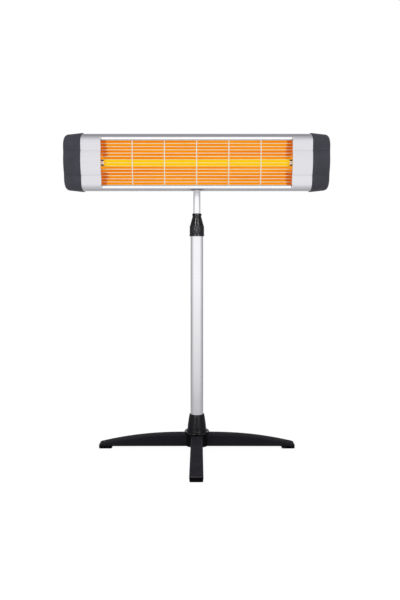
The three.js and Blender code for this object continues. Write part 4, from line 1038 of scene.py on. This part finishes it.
def make_leg(side):
    """A leg bridged from hoop to hoop, its finish picked by where and how each face lies, with
    painted light on its top and shoulders and a painted highlight and shade at its tip.
    """
    bm = bmesh.new()
    straight = LEG_REACH - LEG_TIP_CORNER
    sections = [leg_section(LEG_START + (straight - LEG_START) * i / LEG_HOOPS)
                for i in range(LEG_HOOPS)]
    for i in range(TIP_HOOPS + 1):
        turn = math.radians(90 * i / TIP_HOOPS)
        round_off = 1 - math.cos(turn)
        sections.append(leg_section(straight + LEG_TIP_CORNER * math.sin(turn),
                                    LEG_TIP_CORNER * round_off, LEG_TIP_DROP * round_off))
    hoops = [line(bm, section)[1] for section in sections]
    for first, second in zip(hoops, hoops[1:]):
        bmesh.ops.bridge_loops(bm, edges=first + second)
    bmesh.ops.contextual_create(bm, geom=hoops[-1])
    bmesh.ops.rotate(bm, verts=bm.verts, cent=(0, 0, 0),
                     matrix=Matrix.Rotation(math.radians(LEG_TURNS[side]), 3, "Z"))
    piece = keep(bm, f"leg_moulding_{side}", leg_black, "stand",
                 (f"leg_{side}",), thickness=3.0, crease=30)
    # Painted light: the tops are lighter on the front and rear legs than on the side legs.
    top_black = dust_and_light_top_black if side in ("front", "rear") else side_top_painted_light
    wear_and_highlight, shaded_end, top, rim = 1, 2, 3, 4
    add_finishes(piece, leg_highlight_black, leg_end_shade_black, top_black, shoulder_painted_light)
    for face in piece.data.polygons:
        reach = max(abs(face.center.x), abs(face.center.y)) * METRE
        upwards = face.normal.z
        # Painted shade: the tip's end face takes a darker black.
        if reach > LEG_REACH - LEG_TIP_BAND and abs(upwards) < 0.6:
            face.material_index = shaded_end
        # Painted highlight: the rounded tip's upper faces take a lighter black.
        elif reach > LEG_REACH - LEG_TIP_CORNER and upwards > 0.5:
            face.material_index = wear_and_highlight
        # Painted light: tops and shoulders take a lighter black than the walls.
        elif upwards > 0.35:
            face.material_index = top if upwards > 0.85 else rim


HUB_FLANGE_BOTTOM = 49
HUB_FLANGE_TOP = 56
HUB_FLANGE_INSIDE = 36


def make_hub():
    """A turned hub: a skirt that the legs enter, a polished flange and a cone up to the pole."""
    bm = bmesh.new()
    skirt = [(0, 13.3), (33, 13.3), (33, 8), (38, 7.5), (39.4, 8), (39.9, 9.2), (39.9, 30),
             (38.4, 47)]
    flange = [(38.6, 49.8), (40.3, 50), (41.3, 50.8), (41.5, 52.3), (41.1, 54), (39.8, 55),
              (37.8, 54.9), (36, 54.2), (34.2, 54.1), (32.4, 55)]
    cone = [(31.5 - 6.7 * (i / 10) ** 1.5, 57 + 52.5 * i / 10) for i in range(11)]
    mouth = [(24.5, 110.5), (23.6, 111), (22.2, 111), (21.6, 110.4), (21.6, 100), (0, 100)]
    turned(bm, [*skirt, *flange, *cone, *mouth], 96)
    piece = keep(bm, "hub_moulding", black, "stand", ("hub_body",), crease=35)
    add_finishes(piece, gloss_black, shaded_black)
    for face in piece.data.polygons:
        centre = face.center * METRE
        radius = math.hypot(centre.x, centre.y)
        # Painted shade: the skirt under the flange takes a darker black.
        if centre.z < HUB_FLANGE_BOTTOM:
            face.material_index = 2
        elif centre.z < HUB_FLANGE_TOP and radius > HUB_FLANGE_INSIDE:
            face.material_index = 1


for side in LEG_TURNS:
    make_leg(side)
make_hub()


# ---------------------------------------------------------------- frame pieces that stay

KEPT = [
    ("head", "plated_steel", steel,
     ["cap_screw_right_upper", "cap_screw_right_lower", "cap_screw_left_upper",
      "cap_screw_left_lower", "lamp_holder_right", "lamp_holder_left", "tilt_bracket",
      "bracket_bolt_right", "bracket_nut_right", "bracket_bolt_left", "bracket_nut_left",
      "tilt_bolt"]),
    # The reflector's end plates take its painted glow.
    ("head", "reflector_gold", reflector_gold, ["reflector_end_right", "reflector_end_left"]),
    # The lamp's ends take the ceramic with a painted glow.
    ("head", "ceramic", lit_ceramic, ["lamp_end_right", "lamp_end_left"]),
    ("head", "ceramic", ceramic, ["terminal_block"]),
    ("head", "rubber", rubber, ["friction_washer_right", "friction_washer_left", "cable_gland"]),
    ("head", "black_plastic", black, ["power_switch", "tip_over_switch"]),
    ("stand", "black_plastic", black, ["hub_bottom_cover", "pole_end_plug", "lock_bush"]),
    ("stand", "plated_steel", steel,
     ["cover_screw_1", "cover_screw_2", "cover_screw_3", "cover_screw_4", "pole_bolt"]),
    ("stand", "rubber", rubber,
     ["foot_pad_right", "foot_pad_rear", "foot_pad_left", "foot_pad_front"]),
    ("mast", "black_plastic", black, ["tube_guide", "tilt_socket"]),
    ("knob", "black_plastic", black, ["tilt_knob"]),
    ("dial", "black_plastic", black, ["power_dial"]),
    ("collet", "collet_plastic", collet_white, ["split_collet"]),
]
for body, slot, finish, names in KEPT:
    for name in names:
        dressed(name, finish, body)
nodes["heating_filament"].data.materials.clear()
nodes["heating_filament"].data.materials.append(hot_wire)
